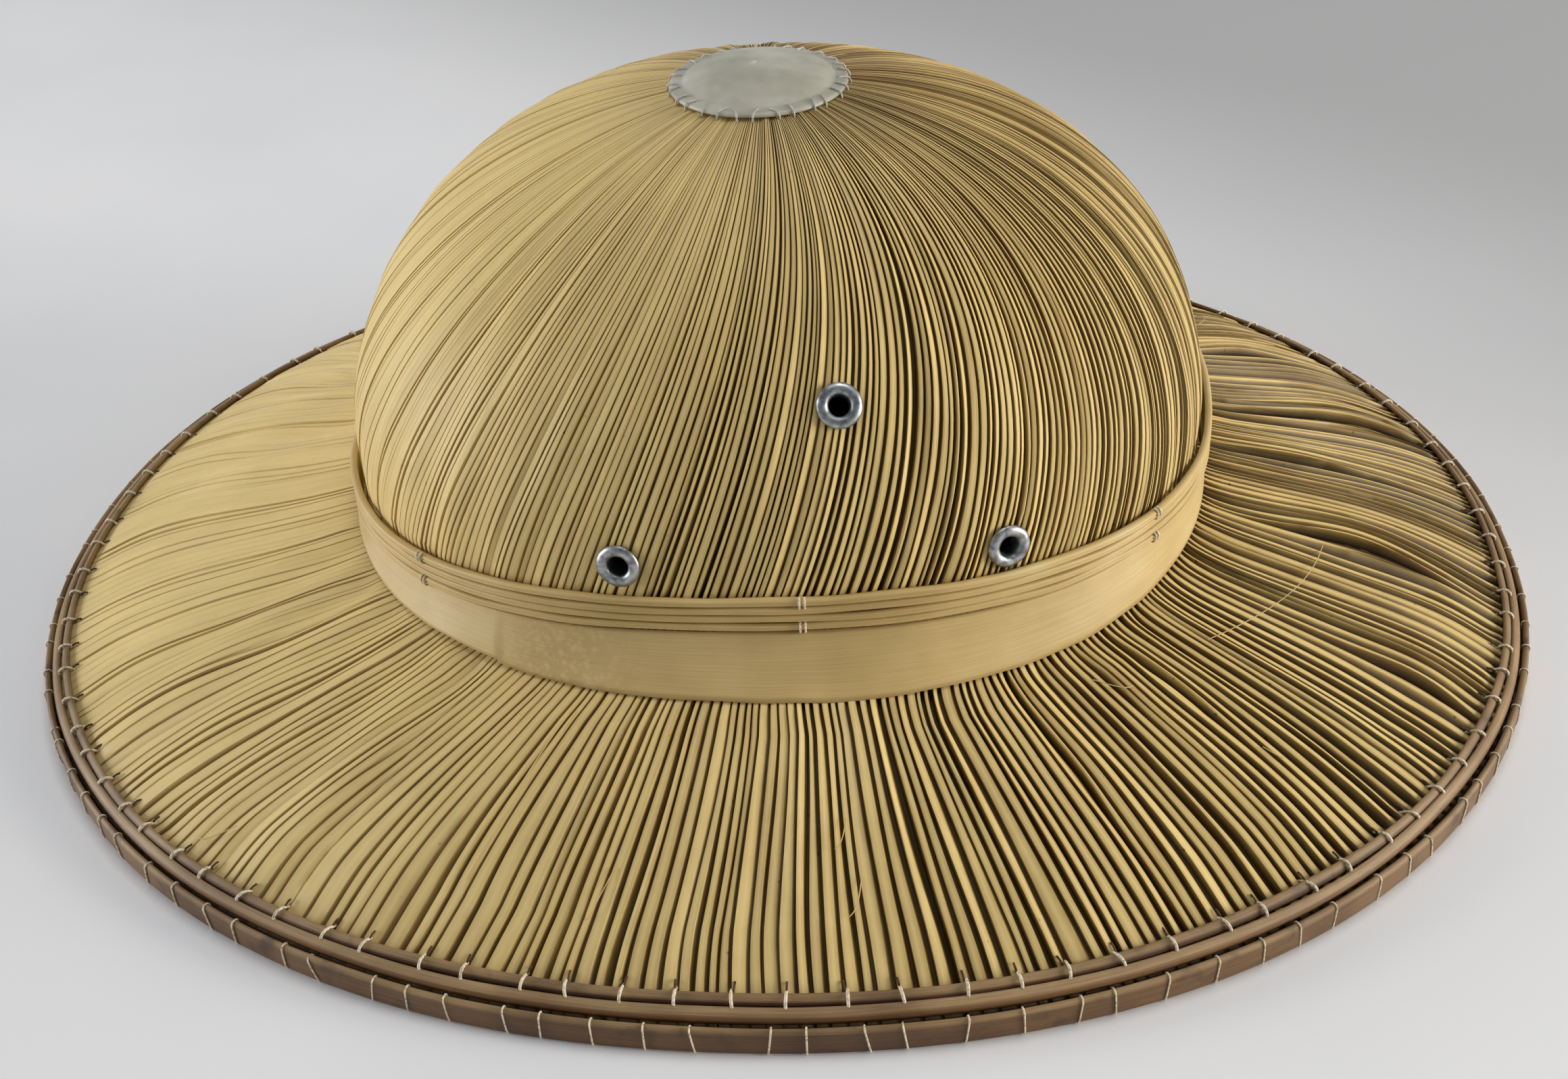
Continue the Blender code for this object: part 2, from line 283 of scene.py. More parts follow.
def rolled_sheet(name, table, **marks):
    """A flat grid rolled up both ways into a closed ring, with its seams merged.

    table holds each corner's place by row and column, and its last row and column repeat the
    first. marks are values of each corner that the finish reads."""
    rows = table.shape[0] - 1
    columns = table.shape[1] - 1
    start_fresh()
    bpy.ops.mesh.primitive_grid_add(x_subdivisions=columns, y_subdivisions=rows, size=2)
    piece = bpy.context.object
    piece.name = name
    mesh = piece.data
    flat = np.empty(len(mesh.vertices) * 3)
    mesh.vertices.foreach_get("co", flat)
    flat = flat.reshape(-1, 3)
    column = np.rint((flat[:, 0] + 1) / 2 * columns).astype(int)
    row = np.rint((flat[:, 1] + 1) / 2 * rows).astype(int)
    mesh.vertices.foreach_set("co", table[row, column].ravel())
    for label, values in marks.items():
        layer = mesh.attributes.new(label, "FLOAT", "POINT")
        layer.data.foreach_set("value", values[row, column].ravel().astype(np.float32))
    bpy.ops.object.mode_set(mode="EDIT")
    merge_seams()
    return piece


def ring_table(columns, corners):
    """Table of a ring whose section has the given corners, each a function of the bearing."""
    bearing = np.linspace(0, 2 * np.pi, columns + 1)
    rows = [corner(bearing) for corner in corners]
    table = np.stack(rows + rows[:1])
    table[:, -1] = table[:, 0]
    return table


def turned(name, profile, steps):
    """Turn a closed profile of (radius, height) corners: a circle drawn out corner by corner."""
    start_fresh()
    radius, height = profile[0]
    bpy.ops.mesh.primitive_circle_add(vertices=steps, radius=radius, location=(0, 0, height))
    bpy.ops.object.transform_apply(location=True, rotation=True, scale=True)
    piece = bpy.context.object
    piece.name = name
    bpy.ops.object.mode_set(mode="EDIT")
    bpy.ops.mesh.select_all(action="SELECT")
    for new_radius, new_height in profile[1:] + profile[:1]:
        bpy.ops.mesh.extrude_region_move(TRANSFORM_OT_translate={"value": (0, 0, new_height - height)})
        grow = new_radius / radius
        bpy.ops.transform.resize(value=(grow, grow, 1), center_override=(0, 0, new_height))
        radius = new_radius
        height = new_height
    merge_seams()
    return piece


def in_mm(points):
    return [tuple(part * MM for part in point) for point in points]


def strand(name, points, thickness):
    """A thin round strand through the points, as a closed mesh."""
    start_fresh()
    curve = bpy.data.curves.new(name, "CURVE")
    curve.dimensions = "3D"
    curve.bevel_depth = thickness / 2
    curve.bevel_resolution = 1
    curve.use_fill_caps = True
    line = curve.splines.new("POLY")
    line.points.add(len(points) - 1)
    for corner, point in zip(line.points, points):
        corner.co = (*point, 1)
    piece = bpy.data.objects.new(name, curve)
    bpy.context.collection.objects.link(piece)
    bpy.context.view_layer.objects.active = piece
    piece.select_set(True)
    bpy.ops.object.convert(target="MESH")
    piece = bpy.context.object
    bpy.ops.object.shade_smooth()
    return piece


def repeat(pattern, name, places):
    """Copy a pattern to each place, each copy with its own mesh, and join the copies."""
    copies = []
    for place in places:
        copy = pattern.copy()
        copy.data = pattern.data.copy()
        copy.data.transform(place)
        bpy.context.collection.objects.link(copy)
        copies.append(copy)
    bpy.data.objects.remove(pattern, do_unlink=True)
    return joined(copies, name)


def laced(name, path, thickness, places, finish):
    """One short thread along the path, repeated at each place."""
    threads = repeat(strand(name + "_pattern", path, thickness), name, places)
    return finished(threads, finish, None)


def set_frame(origin, out, up):
    """Matrix of a place whose X points out and whose Z points up."""
    out = Vector(out).normalized()
    side = Vector(up).cross(out).normalized()
    up = out.cross(side)
    matrix = Matrix((out, side, up)).transposed().to_4x4()
    return Matrix.Translation(Vector(origin)) @ matrix


def finished(piece, finish, slot, *nodes):
    """Give a piece its finish and body, and hide the CAD nodes that it stands for."""
    piece.data.materials.clear()
    piece.data.materials.append(finish)
    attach(piece, BODY)
    if nodes:
        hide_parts(*nodes)
    return piece


# Finishes

def fill(tree, node, inputs):
    """Give a node's inputs values, or sockets to link."""
    for key, value in inputs.items():
        if isinstance(value, bpy.types.NodeSocket):
            tree.links.new(value, node.inputs[key])
        else:
            node.inputs[key].default_value = value


def add_node(tree, kind, inputs=None, stops=None, **settings):
    """Add a node, set its own settings, and give its inputs values or sockets to link."""
    node = tree.nodes.new(kind)
    for key, value in settings.items():
        setattr(node, key, value)
    fill(tree, node, inputs or {})
    if stops:
        elements = node.color_ramp.elements
        while len(elements) < len(stops):
            elements.new(0.5)
        for element, (place, value) in zip(elements, stops):
            element.position = place
            element.color = value
    return node


def new_finish(name):
    """A material with its tree, its shader, and the coordinates that its patterns use."""
    finish = bpy.data.materials.new(name)
    finish.use_nodes = True
    tree = finish.node_tree
    spot = add_node(tree, "ShaderNodeTexCoord").outputs
    return finish, tree, tree.nodes["Principled BSDF"], spot


def grey(value):
    return (value, value, value, 1.0)


def stretched(tree, spot, across, along):
    scale = {"Vector": spot["UV"], "Scale": (across, along, 1)}
    return add_node(tree, "ShaderNodeMapping", scale).outputs["Vector"]


def noise(tree, vector, scale=1.0, **inputs):
    inputs = {"Vector": vector, "Scale": scale} | inputs
    return add_node(tree, "ShaderNodeTexNoise", inputs).outputs["Fac"]


def ramp(tree, value, *stops):
    return add_node(tree, "ShaderNodeValToRGB", {"Fac": value}, stops).outputs["Color"]


def mix(tree, share, first, second, blend="MIX"):
    inputs = {"Fac": share, "Color1": first, "Color2": second}
    return add_node(tree, "ShaderNodeMixRGB", inputs, blend_type=blend).outputs["Color"]


def remap(tree, value, source, target, **settings):
    """Map a value from the source range to the target range."""
    inputs = {"Value": value, "From Min": source[0], "From Max": source[1],
              "To Min": target[0], "To Max": target[1]}
    return add_node(tree, "ShaderNodeMapRange", inputs, **settings).outputs["Result"]


def calculate(tree, operation, *values):
    inputs = dict(enumerate(values))
    return add_node(tree, "ShaderNodeMath", inputs, operation=operation).outputs["Value"]


def bump(tree, height, strength, distance, inputs=None, **settings):
    inputs = {"Height": height, "Strength": strength, "Distance": distance} | (inputs or {})
    return add_node(tree, "ShaderNodeBump", inputs, **settings).outputs["Normal"]


def mark(tree, name):
    return add_node(tree, "ShaderNodeAttribute", attribute_name=name).outputs["Fac"]


def pleated_leaf(name, length):
    """Dried palm leaf, folded by hand: satin straw with fine fibres along each pleat, with painted
    shade in its grooves and a painted highlight on its crests.
    """
    finish, tree, shader, spot = new_finish(name)
    straw = bpy.context.scene.helmet_colours.leaf
    pleats = bpy.context.scene.helmet_sizes.pleats
    fibres_per_pleat = 6
    pleats_per_streak = 4
    fibre = noise(tree, stretched(tree, spot, pleats * fibres_per_pleat, length / (22 * MM)),
                  Detail=3.0, Roughness=0.6)
    patch = noise(tree, spot["Object"], 1 / (45 * MM), Detail=3.0)
    groove = mark(tree, "groove")
    shade = ramp(tree, calculate(tree, "ADD", mark(tree, "tone"), patch),
                 (0.3, colour("bc9d58")), (0.5, colour("d0b16a")), (0.72, straw),
                 (0.95, colour("e9d094")))
    fibre_shade = ramp(tree, fibre, (0.3, grey(0.55)), (0.6, grey(1.0)))
    shade = mix(tree, 0.5, shade, fibre_shade, "MULTIPLY")
    streak = noise(tree, stretched(tree, spot, pleats / pleats_per_streak, length / (70 * MM)),
                   Detail=4.0, Roughness=0.7)
    streak_shade = ramp(tree, streak, (0.38, colour("cbb89c")), (0.6, grey(1.0)))
    shade = mix(tree, 0.7, shade, streak_shade, "MULTIPLY")
    speck = add_node(tree, "ShaderNodeTexVoronoi", {
        "Vector": spot["Object"], "Scale": 1 / (7 * MM), "Randomness": 1.0}).outputs["Distance"]
    speck_edge = remap(tree, speck, (0.045, 0.07), (0.7, 0.0))
    shade = mix(tree, speck_edge, shade, colour("5a4020"))
    shade = mix(tree, mark(tree, "stain"), shade, colour("7d5b3c"))
    # Painted highlight: the crests are painted pale yellow, where the light catches them.
    crest = remap(tree, groove, (0.0, 0.12), (0.65, 0.0))
    shade = mix(tree, crest, shade, colour("f2da98"))
    # Painted shade: the grooves are painted dark brown, more so where the pleat's shadow mark is high.
    painted_groove_shade = ramp(tree, groove, (0.1, grey(0.0)), (0.22, grey(0.45)), (0.5, grey(0.8)),
                (1.0, grey(1.0)))
    gloss = remap(tree, fibre, (0, 1), (0.42, 0.62))
    fill(tree, shader, {
        "Base Color": mix(tree, painted_groove_shade, shade, colour("231406")),
        "Roughness": calculate(tree, "MAXIMUM", gloss, groove),
        "Normal": bump(tree, fibre, 0.35, 0.15 * MM),
        "Specular IOR Level": 0.25})
    return finish


def flat_leaf(name, length, width, crackle=None):
    """Flat dried palm leaf: the same straw, unfolded, with lengthwise veins."""
    finish, tree, shader, spot = new_finish(name)
    vein = noise(tree, stretched(tree, spot, length / (30 * MM), width / (0.45 * MM)),
                 Detail=3.0, Roughness=0.65)
    patch = noise(tree, spot["Object"], 1 / (30 * MM), Detail=3.0)
    shade = ramp(tree, patch, (0.3, colour("c9ac6e")), (0.55, colour("d9bc7e")),
                 (0.8, colour("e6cf99")))
    vein_shade = ramp(tree, vein, (0.3, grey(0.6)), (0.62, grey(1.0)))
    shade = mix(tree, 0.45, shade, vein_shade, "MULTIPLY")
    relief = bump(tree, vein, 0.4, 0.2 * MM)
    if crackle:
        shade, relief = add_crackle(tree, spot, crackle, shade, relief)
    fill(tree, shader, {"Base Color": shade, "Normal": relief, "Roughness": 0.5,
                        "Specular IOR Level": 0.4})
    return finish


def add_crackle(tree, spot, place, shade, relief):
    """Short cracks across the strip where it was bent while dry, paler at their edges."""
    away = add_node(tree, "ShaderNodeVectorMath", {0: spot["Object"], 1: place},
                    operation="DISTANCE").outputs["Value"]
    near = remap(tree, away, (4 * MM, 22 * MM), (0.3, 0.0))
    flakes = stretched(tree, spot, 720 / 1.6, 40 / 2.6)
    cell = add_node(tree, "ShaderNodeTexVoronoi", {"Vector": flakes, "Scale": 1.0},
                    distance="MANHATTAN").outputs["Distance"]
    flake_shade = ramp(tree, cell, (0.1, colour("dcc48c")), (0.5, colour("cdb070")),
                       (0.85, colour("a5844a")))
    raised = calculate(tree, "MULTIPLY", cell, near)
    cracked = bump(tree, raised, 0.5, 0.3 * MM, {"Normal": relief}, invert=True)
    return mix(tree, near, shade, flake_shade), cracked


def split_cane(name, length, width, pale, dark, skin, scorch):
    """Split cane, smoked over a flame to bend it: long fibres, splits and scorched patches."""
    finish, tree, shader, spot = new_finish(name)
    fibre = noise(tree, stretched(tree, spot, length / (26 * MM), width / (0.5 * MM)),
                  Detail=4.0, Roughness=0.7)
    patch = noise(tree, spot["Object"], 1 / (28 * MM), Detail=4.0)
    fibre_shade = ramp(tree, fibre, (0.33, grey(0.42)), (0.62, grey(1.0)))
    shade = mix(tree, 0.65, ramp(tree, patch, (0.32, dark), (0.6, pale)), fibre_shade, "MULTIPLY")
    # This colour darkens the marked outer face: the real rind, and painted shade towards the front.
    shade = mix(tree, mark(tree, "skin"), shade, skin, "MULTIPLY")
    burn = noise(tree, spot["Object"], 1 / (9 * MM), Detail=5.0)
    burnt = remap(tree, burn, (0.58, 0.72), (0, scorch))
    fill(tree, shader, {"Base Color": mix(tree, burnt, shade, colour("3a2614")),
                        "Normal": bump(tree, fibre, 0.6, 0.25 * MM), "Roughness": 0.5})
    return finish


def slit_shadow_leaf(name):
    """Torn edge of dried leaf, painted with the shadow inside its slit: dull, dark and fibrous."""
    finish, tree, shader, spot = new_finish(name)
    fray = noise(tree, spot["Object"], 1 / (1.2 * MM), Detail=3.0)
    shade = ramp(tree, fray, (0.3, colour("2f1d0c")), (0.6, colour("5d4425")))
    fill(tree, shader, {"Base Color": shade, "Roughness": 0.9})
    return finish


def cotton_thread(name):
    """Twisted cotton thread: matt cream with the shadow of its plies."""
    finish, tree, shader, spot = new_finish(name)
    cream = bpy.context.scene.helmet_colours.thread
    ply = noise(tree, spot["Object"], 1 / (0.7 * MM), Detail=2.0)
    shade = ramp(tree, ply, (0.3, colour("a8977a")), (0.55, cream))
    fill(tree, shader, {"Base Color": shade, "Normal": bump(tree, ply, 0.5, 0.2 * MM),
                        "Roughness": 0.85})
    return finish


def clear_nylon(name):
    """Clear nylon line: glossy and see-through, caught by the light."""
    finish, tree, shader, spot = new_finish(name)
    wear = noise(tree, spot["Object"], 1 / (1.5 * MM))
    shade = ramp(tree, wear, (0.3, colour("c9cac2")), (0.7, colour("eef0ec")))
    fill(tree, shader, {"Base Color": shade, "Roughness": 0.15, "Transmission Weight": 0.45,
                        "IOR": 1.53})
    return finish


def frosted_plastic(name):
    """Moulded polyethylene, frosted and a little cloudy: light sinks in and comes back soft."""
    finish, tree, shader, spot = new_finish(name)
    milky = bpy.context.scene.helmet_colours.plastic
    cloud = noise(tree, spot["Object"], 1 / (16 * MM), Detail=3.0)
    grain = noise(tree, spot["Object"], 1 / (0.6 * MM), Detail=2.0)
    shade = ramp(tree, cloud, (0.35, colour("9d9b8a")), (0.62, milky))
    fill(tree, shader, {"Base Color": shade, "Normal": bump(tree, grain, 0.12, 0.1 * MM),
                        "Roughness": 0.42, "Subsurface Weight": 0.25,
                        "Subsurface Scale": 2 * MM})
    return finish


def plated_steel(name):
    """Pressed steel with a dull nickel plate, scuffed and a little grimy."""
    finish, tree, shader, spot = new_finish(name)
    plate = bpy.context.scene.helmet_colours.steel
    grime = noise(tree, spot["Object"], 1 / (1.8 * MM), Detail=4.0)
    shade = ramp(tree, grime, (0.35, colour("7b7f82")), (0.62, plate))
    fill(tree, shader, {"Base Color": shade, "Roughness": remap(tree, grime, (0, 1), (0.5, 0.34)),
                        "Normal": bump(tree, grime, 0.15, 0.1 * MM), "Metallic": 1.0})
    return finish


def painted_floor(name):
    """Matt white paint on board, with faint unevenness, and painted shade that greys it towards the
    back and the right.
    """
    finish, tree, shader, spot = new_finish(name)
    wash = noise(tree, spot["Object"], 1 / (150 * MM), Detail=2.0)
    orange_peel = noise(tree, spot["Object"], 1 / (2.5 * MM), Detail=2.0)
    shade = ramp(tree, wash, (0.3, colour("f1f2f4")), (0.7, colour("fafafb")))
    depth = add_node(tree, "ShaderNodeSeparateXYZ", {"Vector": spot["Object"]}).outputs
    # Painted shade: the board is painted grey towards the back and the right, where less light falls.
    shade_slant = calculate(tree, "MULTIPLY_ADD", depth["Y"], 1.2, depth["X"])
    back = remap(tree, shade_slant, (0.12, 0.66), (0, 1), interpolation_type="SMOOTHSTEP")
    fill(tree, shader, {"Base Color": mix(tree, back, shade, colour("bababa")),
                        "Normal": bump(tree, orange_peel, 0.08, 0.5 * MM), "Roughness": 0.55})
    return finish


# Pleats

COLUMNS_PER_PLEAT = 5          # groove start, groove end, left shoulder, crest, right shoulder
WALL = 0.06                    # share of a pleat's width that its steep wall takes


# By bearing: the share of a pleat that its groove takes, and how much shade is painted into the groove
OPEN_BEARINGS = (-180, -150, -120, -90, -60, -30, 0, 30, 60, 90, 120, 150, 180)
OPEN_SHARES = (0.03, 0.05, 0.13, 0.25, 0.34, 0.5, 0.62, 0.66, 0.58, 0.34, 0.14, 0.05, 0.03)
SHADOWS = (0.12, 0.16, 0.36, 0.58, 0.7, 1.0, 1.2, 1.2, 1.2, 1.0, 0.6, 0.3, 0.12)
# Share of a groove's wide slope that is on its lower-bearing side, by bearing
SLOPE_BEARINGS = (-180, -70, -45, -25, 90, 140, 180)
SLOPE_SHARES = (0.0, 0.0, 0.4, 1.0, 1.0, 0.5, 0.0)


def groove_share(bearing):
    """Share of a pleat that its groove takes: wide at the near right, almost shut at the left."""
    degrees = signed_degrees(bearing)
    return np.interp(degrees, OPEN_BEARINGS, OPEN_SHARES)


class Pleats:
    """Uneven hand-folded pleats, the same ones on the crown and on the brim."""

    def __init__(self, count, groove):
        rng = np.random.default_rng(41)
        widths = np.clip(rng.lognormal(0.0, 0.2, count), 0.62, 1.5)
        self.count = count
        self.width = 2 * np.pi / count
        self.start = (np.cumsum(widths) - widths) / widths.sum() * 2 * np.pi
        share = groove_share(self.start)
        self.lean = np.interp(signed_degrees(self.start), SLOPE_BEARINGS,
                              SLOPE_SHARES)
        is_open = np.clip(share / 0.4, 0.0, 1.0)
        uneven = np.clip(rng.normal(0.0, 1.0, count), -1.7, 2.2)
        self.depth = groove * (0.08 + 1.2 * is_open) * np.exp(uneven * (0.95 - 0.75 * is_open))
        shadow = np.interp(signed_degrees(self.start), OPEN_BEARINGS, SHADOWS)
        self.shadow = shadow * np.clip(self.depth / (0.5 * MM), 0.4, 1.0)
        self.opening = share * np.exp(uneven * (0.6 - 0.4 * is_open))
        self.rise = rng.normal(0.0, 0.15 * MM, count) * (0.3 + is_open)
        self.tilt = rng.normal(0.0, 0.16 * MM, count) * (0.7 + 0.5 * is_open)
        self.tone = rng.uniform(-0.13, 0.13, count)
        self.phase = rng.uniform(0, 2 * np.pi, (3, count))

    def bearings(self, share, turn, gape=None):
        """Bearing of each column in each row, for rows at share and a turn of the whole row.

        gape gives how far each groove is pulled open, by the pleats' bearings and the rows."""
        share = share[:, None]
        start = self.start + 0.07 * self.width * np.sin(2 * np.pi * 1.1 * share + self.phase[0])
        start = start + turn(self.start, share)
        pull = 0 * start if gape is None else 0.5 * gape(self.start, share)
        after = np.roll(start, -1, axis=1)
        after[:, -1] += 2 * np.pi
        width = after - start
        opening = self.opening * (1 + 0.2 * np.sin(2 * np.pi * 0.9 * share + self.phase[1]))
        groove_start = start - pull
        groove_end = start + 0.4 * opening * width + pull
        left = groove_end + (WALL + 0.6 * opening * self.lean) * width
        slope = 0.6 * np.roll(opening * (1 - self.lean), -1, axis=1) + WALL
        right = after - np.roll(pull, -1, axis=1) - slope * width
        bearing = np.stack((groove_start, groove_end, left, 0.5 * (left + right), right), -1)
        return bearing.reshape(len(share), -1)

    def heights(self, share, pitch, press):
        """Height of each column over the smooth face, for a row's pitch and how free it is."""
        share = share[:, None]
        crowd = np.clip(pitch / (2.4 * MM), 0.25, 1.0)[:, None]
        press = press[:, None]
        wave = np.sin(2 * np.pi * 0.8 * share + self.phase[2])
        depth = self.depth * (1 + 0.12 * wave) * crowd
        rise = (self.rise + 0.08 * MM * wave) * crowd * press
        tilt = self.tilt * crowd * press
        crown = 0.06 * self.depth * crowd * press
        parts = (-depth, -depth, rise - tilt, rise + crown, rise + tilt)
        height = np.stack(np.broadcast_arrays(*parts), -1)
        return height.reshape(len(share), -1)

    def spread(self, values):
        """One value of each pleat, repeated over its columns."""
        return np.repeat(values, COLUMNS_PER_PLEAT)

    def shade_and_highlight_mark(self, rows):
        # Painted shade in each groove, scaled by the pleat's shadow, falling to nothing on the crest,
        # where the finish paints a highlight.
        row = np.outer(self.shadow, (1.0, 1.0, 0.12, 0.0, 0.12)).ravel()
        return np.tile(row, (rows, 1))


def closed(table):
    """Repeat a table's first row and column at its end."""
    table = np.concatenate((table, table[:1]), 0)
    return np.concatenate((table, table[:, :1]), 1)


def crown_twist(start, share):
    """The pleats lean as they climb: bearing gained at a row's share of the dome's lift."""
    lift = np.clip(share, 0, 1) * 90
    gain = 0.31 * (0.83 + 0.09 * np.cos(start + 0.35)) * (lift - lift * (lift / 75) ** 2.6 / 3.6)
    ends = 0.06 * np.cos(start) ** 2 * np.minimum(lift, 20)
    return np.radians(gain + ends)


BRIM_SWAY = ripples(7, 7, 14, 0.5)
SWEEP_BEARINGS = (-180, -150, -135, -120, -105, -90, -75, -60, -45, -30, 0, 30, 60, 90, 120, 150, 180)
SWEEP_DEGREES = (-9, -7.8, -6.4, -4.5, -2.2, -0.6, 0, 0.8, 2.6, 4.4, 6.3, 7, 5, 0, -4, -7.5, -9)
GROUPS = ripples(17, 9, 60, 0.7)
MID_BRIM = 150 * MM             # radius of the brim's middle
# Bearing and share of each lifted blade, its rise and gap in mm, its spread in degrees and in share
LIFTED_BLADES = (
    (-18, 0.5, 2.6, 3.5, 6.0, 0.23),
    (-31, 0.75, 1.0, 1.6, 4.0, 0.16),
    (-3, 0.32, 1.0, 1.2, 4.0, 0.2),
    (-47.5, 0.3, 0.6, 1.0, 3.0, 0.16),
    (8, 0.6, 1.6, 3.6, 5.0, 0.33),
    (-60.6, 0.42, 0.5, 0.7, 3.0, 0.15),
    (-52, 0.2, 0.4, 0.5, 3.0, 0.1),
    (22, 0.4, 1.2, 1.6, 4.0, 0.2),
    (-119.5, 0.35, 0.3, 0.9, 3.0, 0.15),
    (-141, 0.3, 0.4, 1.1, 4.0, 0.2),
    (-156, 0.45, 0.4, 0.8, 4.0, 0.25),
)


def from_blade(bearing, share, blade):
    """Degrees of bearing from a lifted blade, and its strength at each place."""
    degrees, middle, _, _, spread, reach = blade
    away = signed_degrees(bearing - math.radians(degrees))
    return away, np.exp(-(away / spread) ** 2 - ((share - middle) / reach) ** 2)


def brim_sway(start, share):
    """The pleats sweep back on their way out, sway in groups and part round lifted blades."""
    degrees = signed_degrees(start)
    sweep = np.interp(degrees, SWEEP_BEARINGS, SWEEP_DEGREES) * smooth_step(share, -0.05, 0.85)
    hook = 1.3 * np.exp(-(signed_degrees(start + 0.5) / 45) ** 2)
    sweep = sweep + hook * np.exp(-np.clip(share - 0.03, 0, 1) / 0.045)
    sway = 0.8 * BRIM_SWAY(start, share) * np.clip(share * 6, 0, 1)
    sway = np.radians(sweep + sway * np.clip((1 - share) * 4, 0, 1))
    for blade in LIFTED_BLADES:
        away, strength = from_blade(start, share, blade)
        sway = sway + np.sign(away) * strength * 0.5 * blade[3] * MM / MID_BRIM
    return sway


def brim_gape(start, share):
    """How far the groove below each lifted blade is pulled open."""
    total = 0.0 * start * share
    for blade in LIFTED_BLADES:
        away, strength = from_blade(start, share, blade)
        first = np.argmin(np.where(away > 0, away, 360))
        total[:, first] += strength[:, first] * blade[3] * MM / MID_BRIM
    return total


def blade_lift(start, share):
    """Rise of the pleats that stand off the brim, abrupt below the lowest of each group."""
    total = 0.0
    for blade in LIFTED_BLADES:
        away, strength = from_blade(start, share, blade)
        total = total + np.where(away > 0, strength, 0.0) * blade[2] * MM
    return total


CROWN_ROWS = 41
LINING_ROWS = 5
SKIRT = ((1, 0), (1, 0.5), (1, 1))      # shares of the wall and of the foot, from the dome down


def make_pleated_crown(pleats, finish):
    """The crown: a dome, a short wall behind the band and a foot on the brim, inside and out."""
    top = math.acos(GATHER_RADIUS / CROWN_HALF[1])
    out_lift = top * (1 - np.linspace(0, 1, CROWN_ROWS) ** 1.1)
    in_lift = top * np.linspace(0, 1, LINING_ROWS)
    turned_in = CROWN_ROWS + len(SKIRT)
    lining = turned_in + len(SKIRT)
    share = np.concatenate((out_lift, np.zeros(2 * len(SKIRT)), in_lift)) / (np.pi / 2)
    bearing = pleats.bearings(share, crown_twist)
    rows = []
    pitch = 2 * np.pi * CROWN_HALF[1] * np.cos(share * np.pi / 2) / pleats.count
    press = np.concatenate((np.ones(CROWN_ROWS), np.full(2 * len(SKIRT), 0.2),
                            np.full(LINING_ROWS, 0.6)))
    height = pleats.heights(share, pitch, press)
    low = np.minimum(height, 0.25 * MM)
    eyelets = eyelet_places()
    for i, lift in enumerate(out_lift):
        offset = height[i] + 0.22 * MM * GROUPS(bearing[i], 1 - share[i]) * press[i]
        place = dome_place(bearing[i], lift)
        for spot, out, crest, back in eyelets:
            near = np.linalg.norm(place - np.array(spot), axis=-1)
            weight = 1 - smooth_step(near, 4.5 * MM, 8 * MM)
            offset = offset * (1 - 0.6 * weight) - 0.35 * MM * weight
        rows.append(dome_place(bearing[i], lift, offset))
    for i, (wall, foot) in enumerate(SKIRT, CROWN_ROWS):
        rows.append(crown_skirt(bearing[i], wall, foot, 0.5 * low[i]))
    for i, (wall, foot) in enumerate(SKIRT[::-1], turned_in):
        rows.append(crown_skirt(bearing[i], wall, foot, -LEAF + 0.3 * low[i]))
    for i, lift in enumerate(in_lift, lining):
        rows.append(dome_place(bearing[i], lift, -LEAF - 0.1 * MM + 0.4 * low[i]))
    table = closed(np.stack(rows))
    groove = closed(pleats.shade_and_highlight_mark(len(rows)))
    lift_all = np.degrees(share * np.pi / 2)
    stain = np.clip((lift_all - 66) / 8, 0, 1)[:, None] * 0.55 + 0 * bearing
    tone = pleats.spread(pleats.tone)[None, :] + 0 * bearing
    piece = rolled_sheet("crown_pleats", table, groove=groove, stain=closed(stain),
                         tone=closed(tone))
    cut_eyelet_holes(piece, eyelets)
    crisp_folds(piece)
    return finished(piece, finish, "pleated_leaf", "crown_leaf")


def crown_skirt(bearing, wall, foot, offset):
    """Places below the dome: wall goes down to the strip's top edge, foot out to the brim."""
    upper = crown_plan(bearing, offset)
    lower = flare_plan(bearing, STRIP + 2 * GAP - offset)
    share = brim_share_at(bearing, lower)
    top = BAND_TOP + (strip_top(bearing) - BAND_TOP) * wall
    low = brim_fall(share) + GAP
    spot = upper + (lower - upper) * foot
    height = top + (low - top) * foot
    return np.concatenate((spot, height[:, None]), -1)


def brim_share_at(bearing, spot):
    root = flare_plan(bearing, ROOT_INSET)
    run = rim_plan(bearing, EDGE_INSET) - root
    share = ((spot - root) * run).sum(-1) / (run * run).sum(-1)
    return np.clip(share, 0, 1)


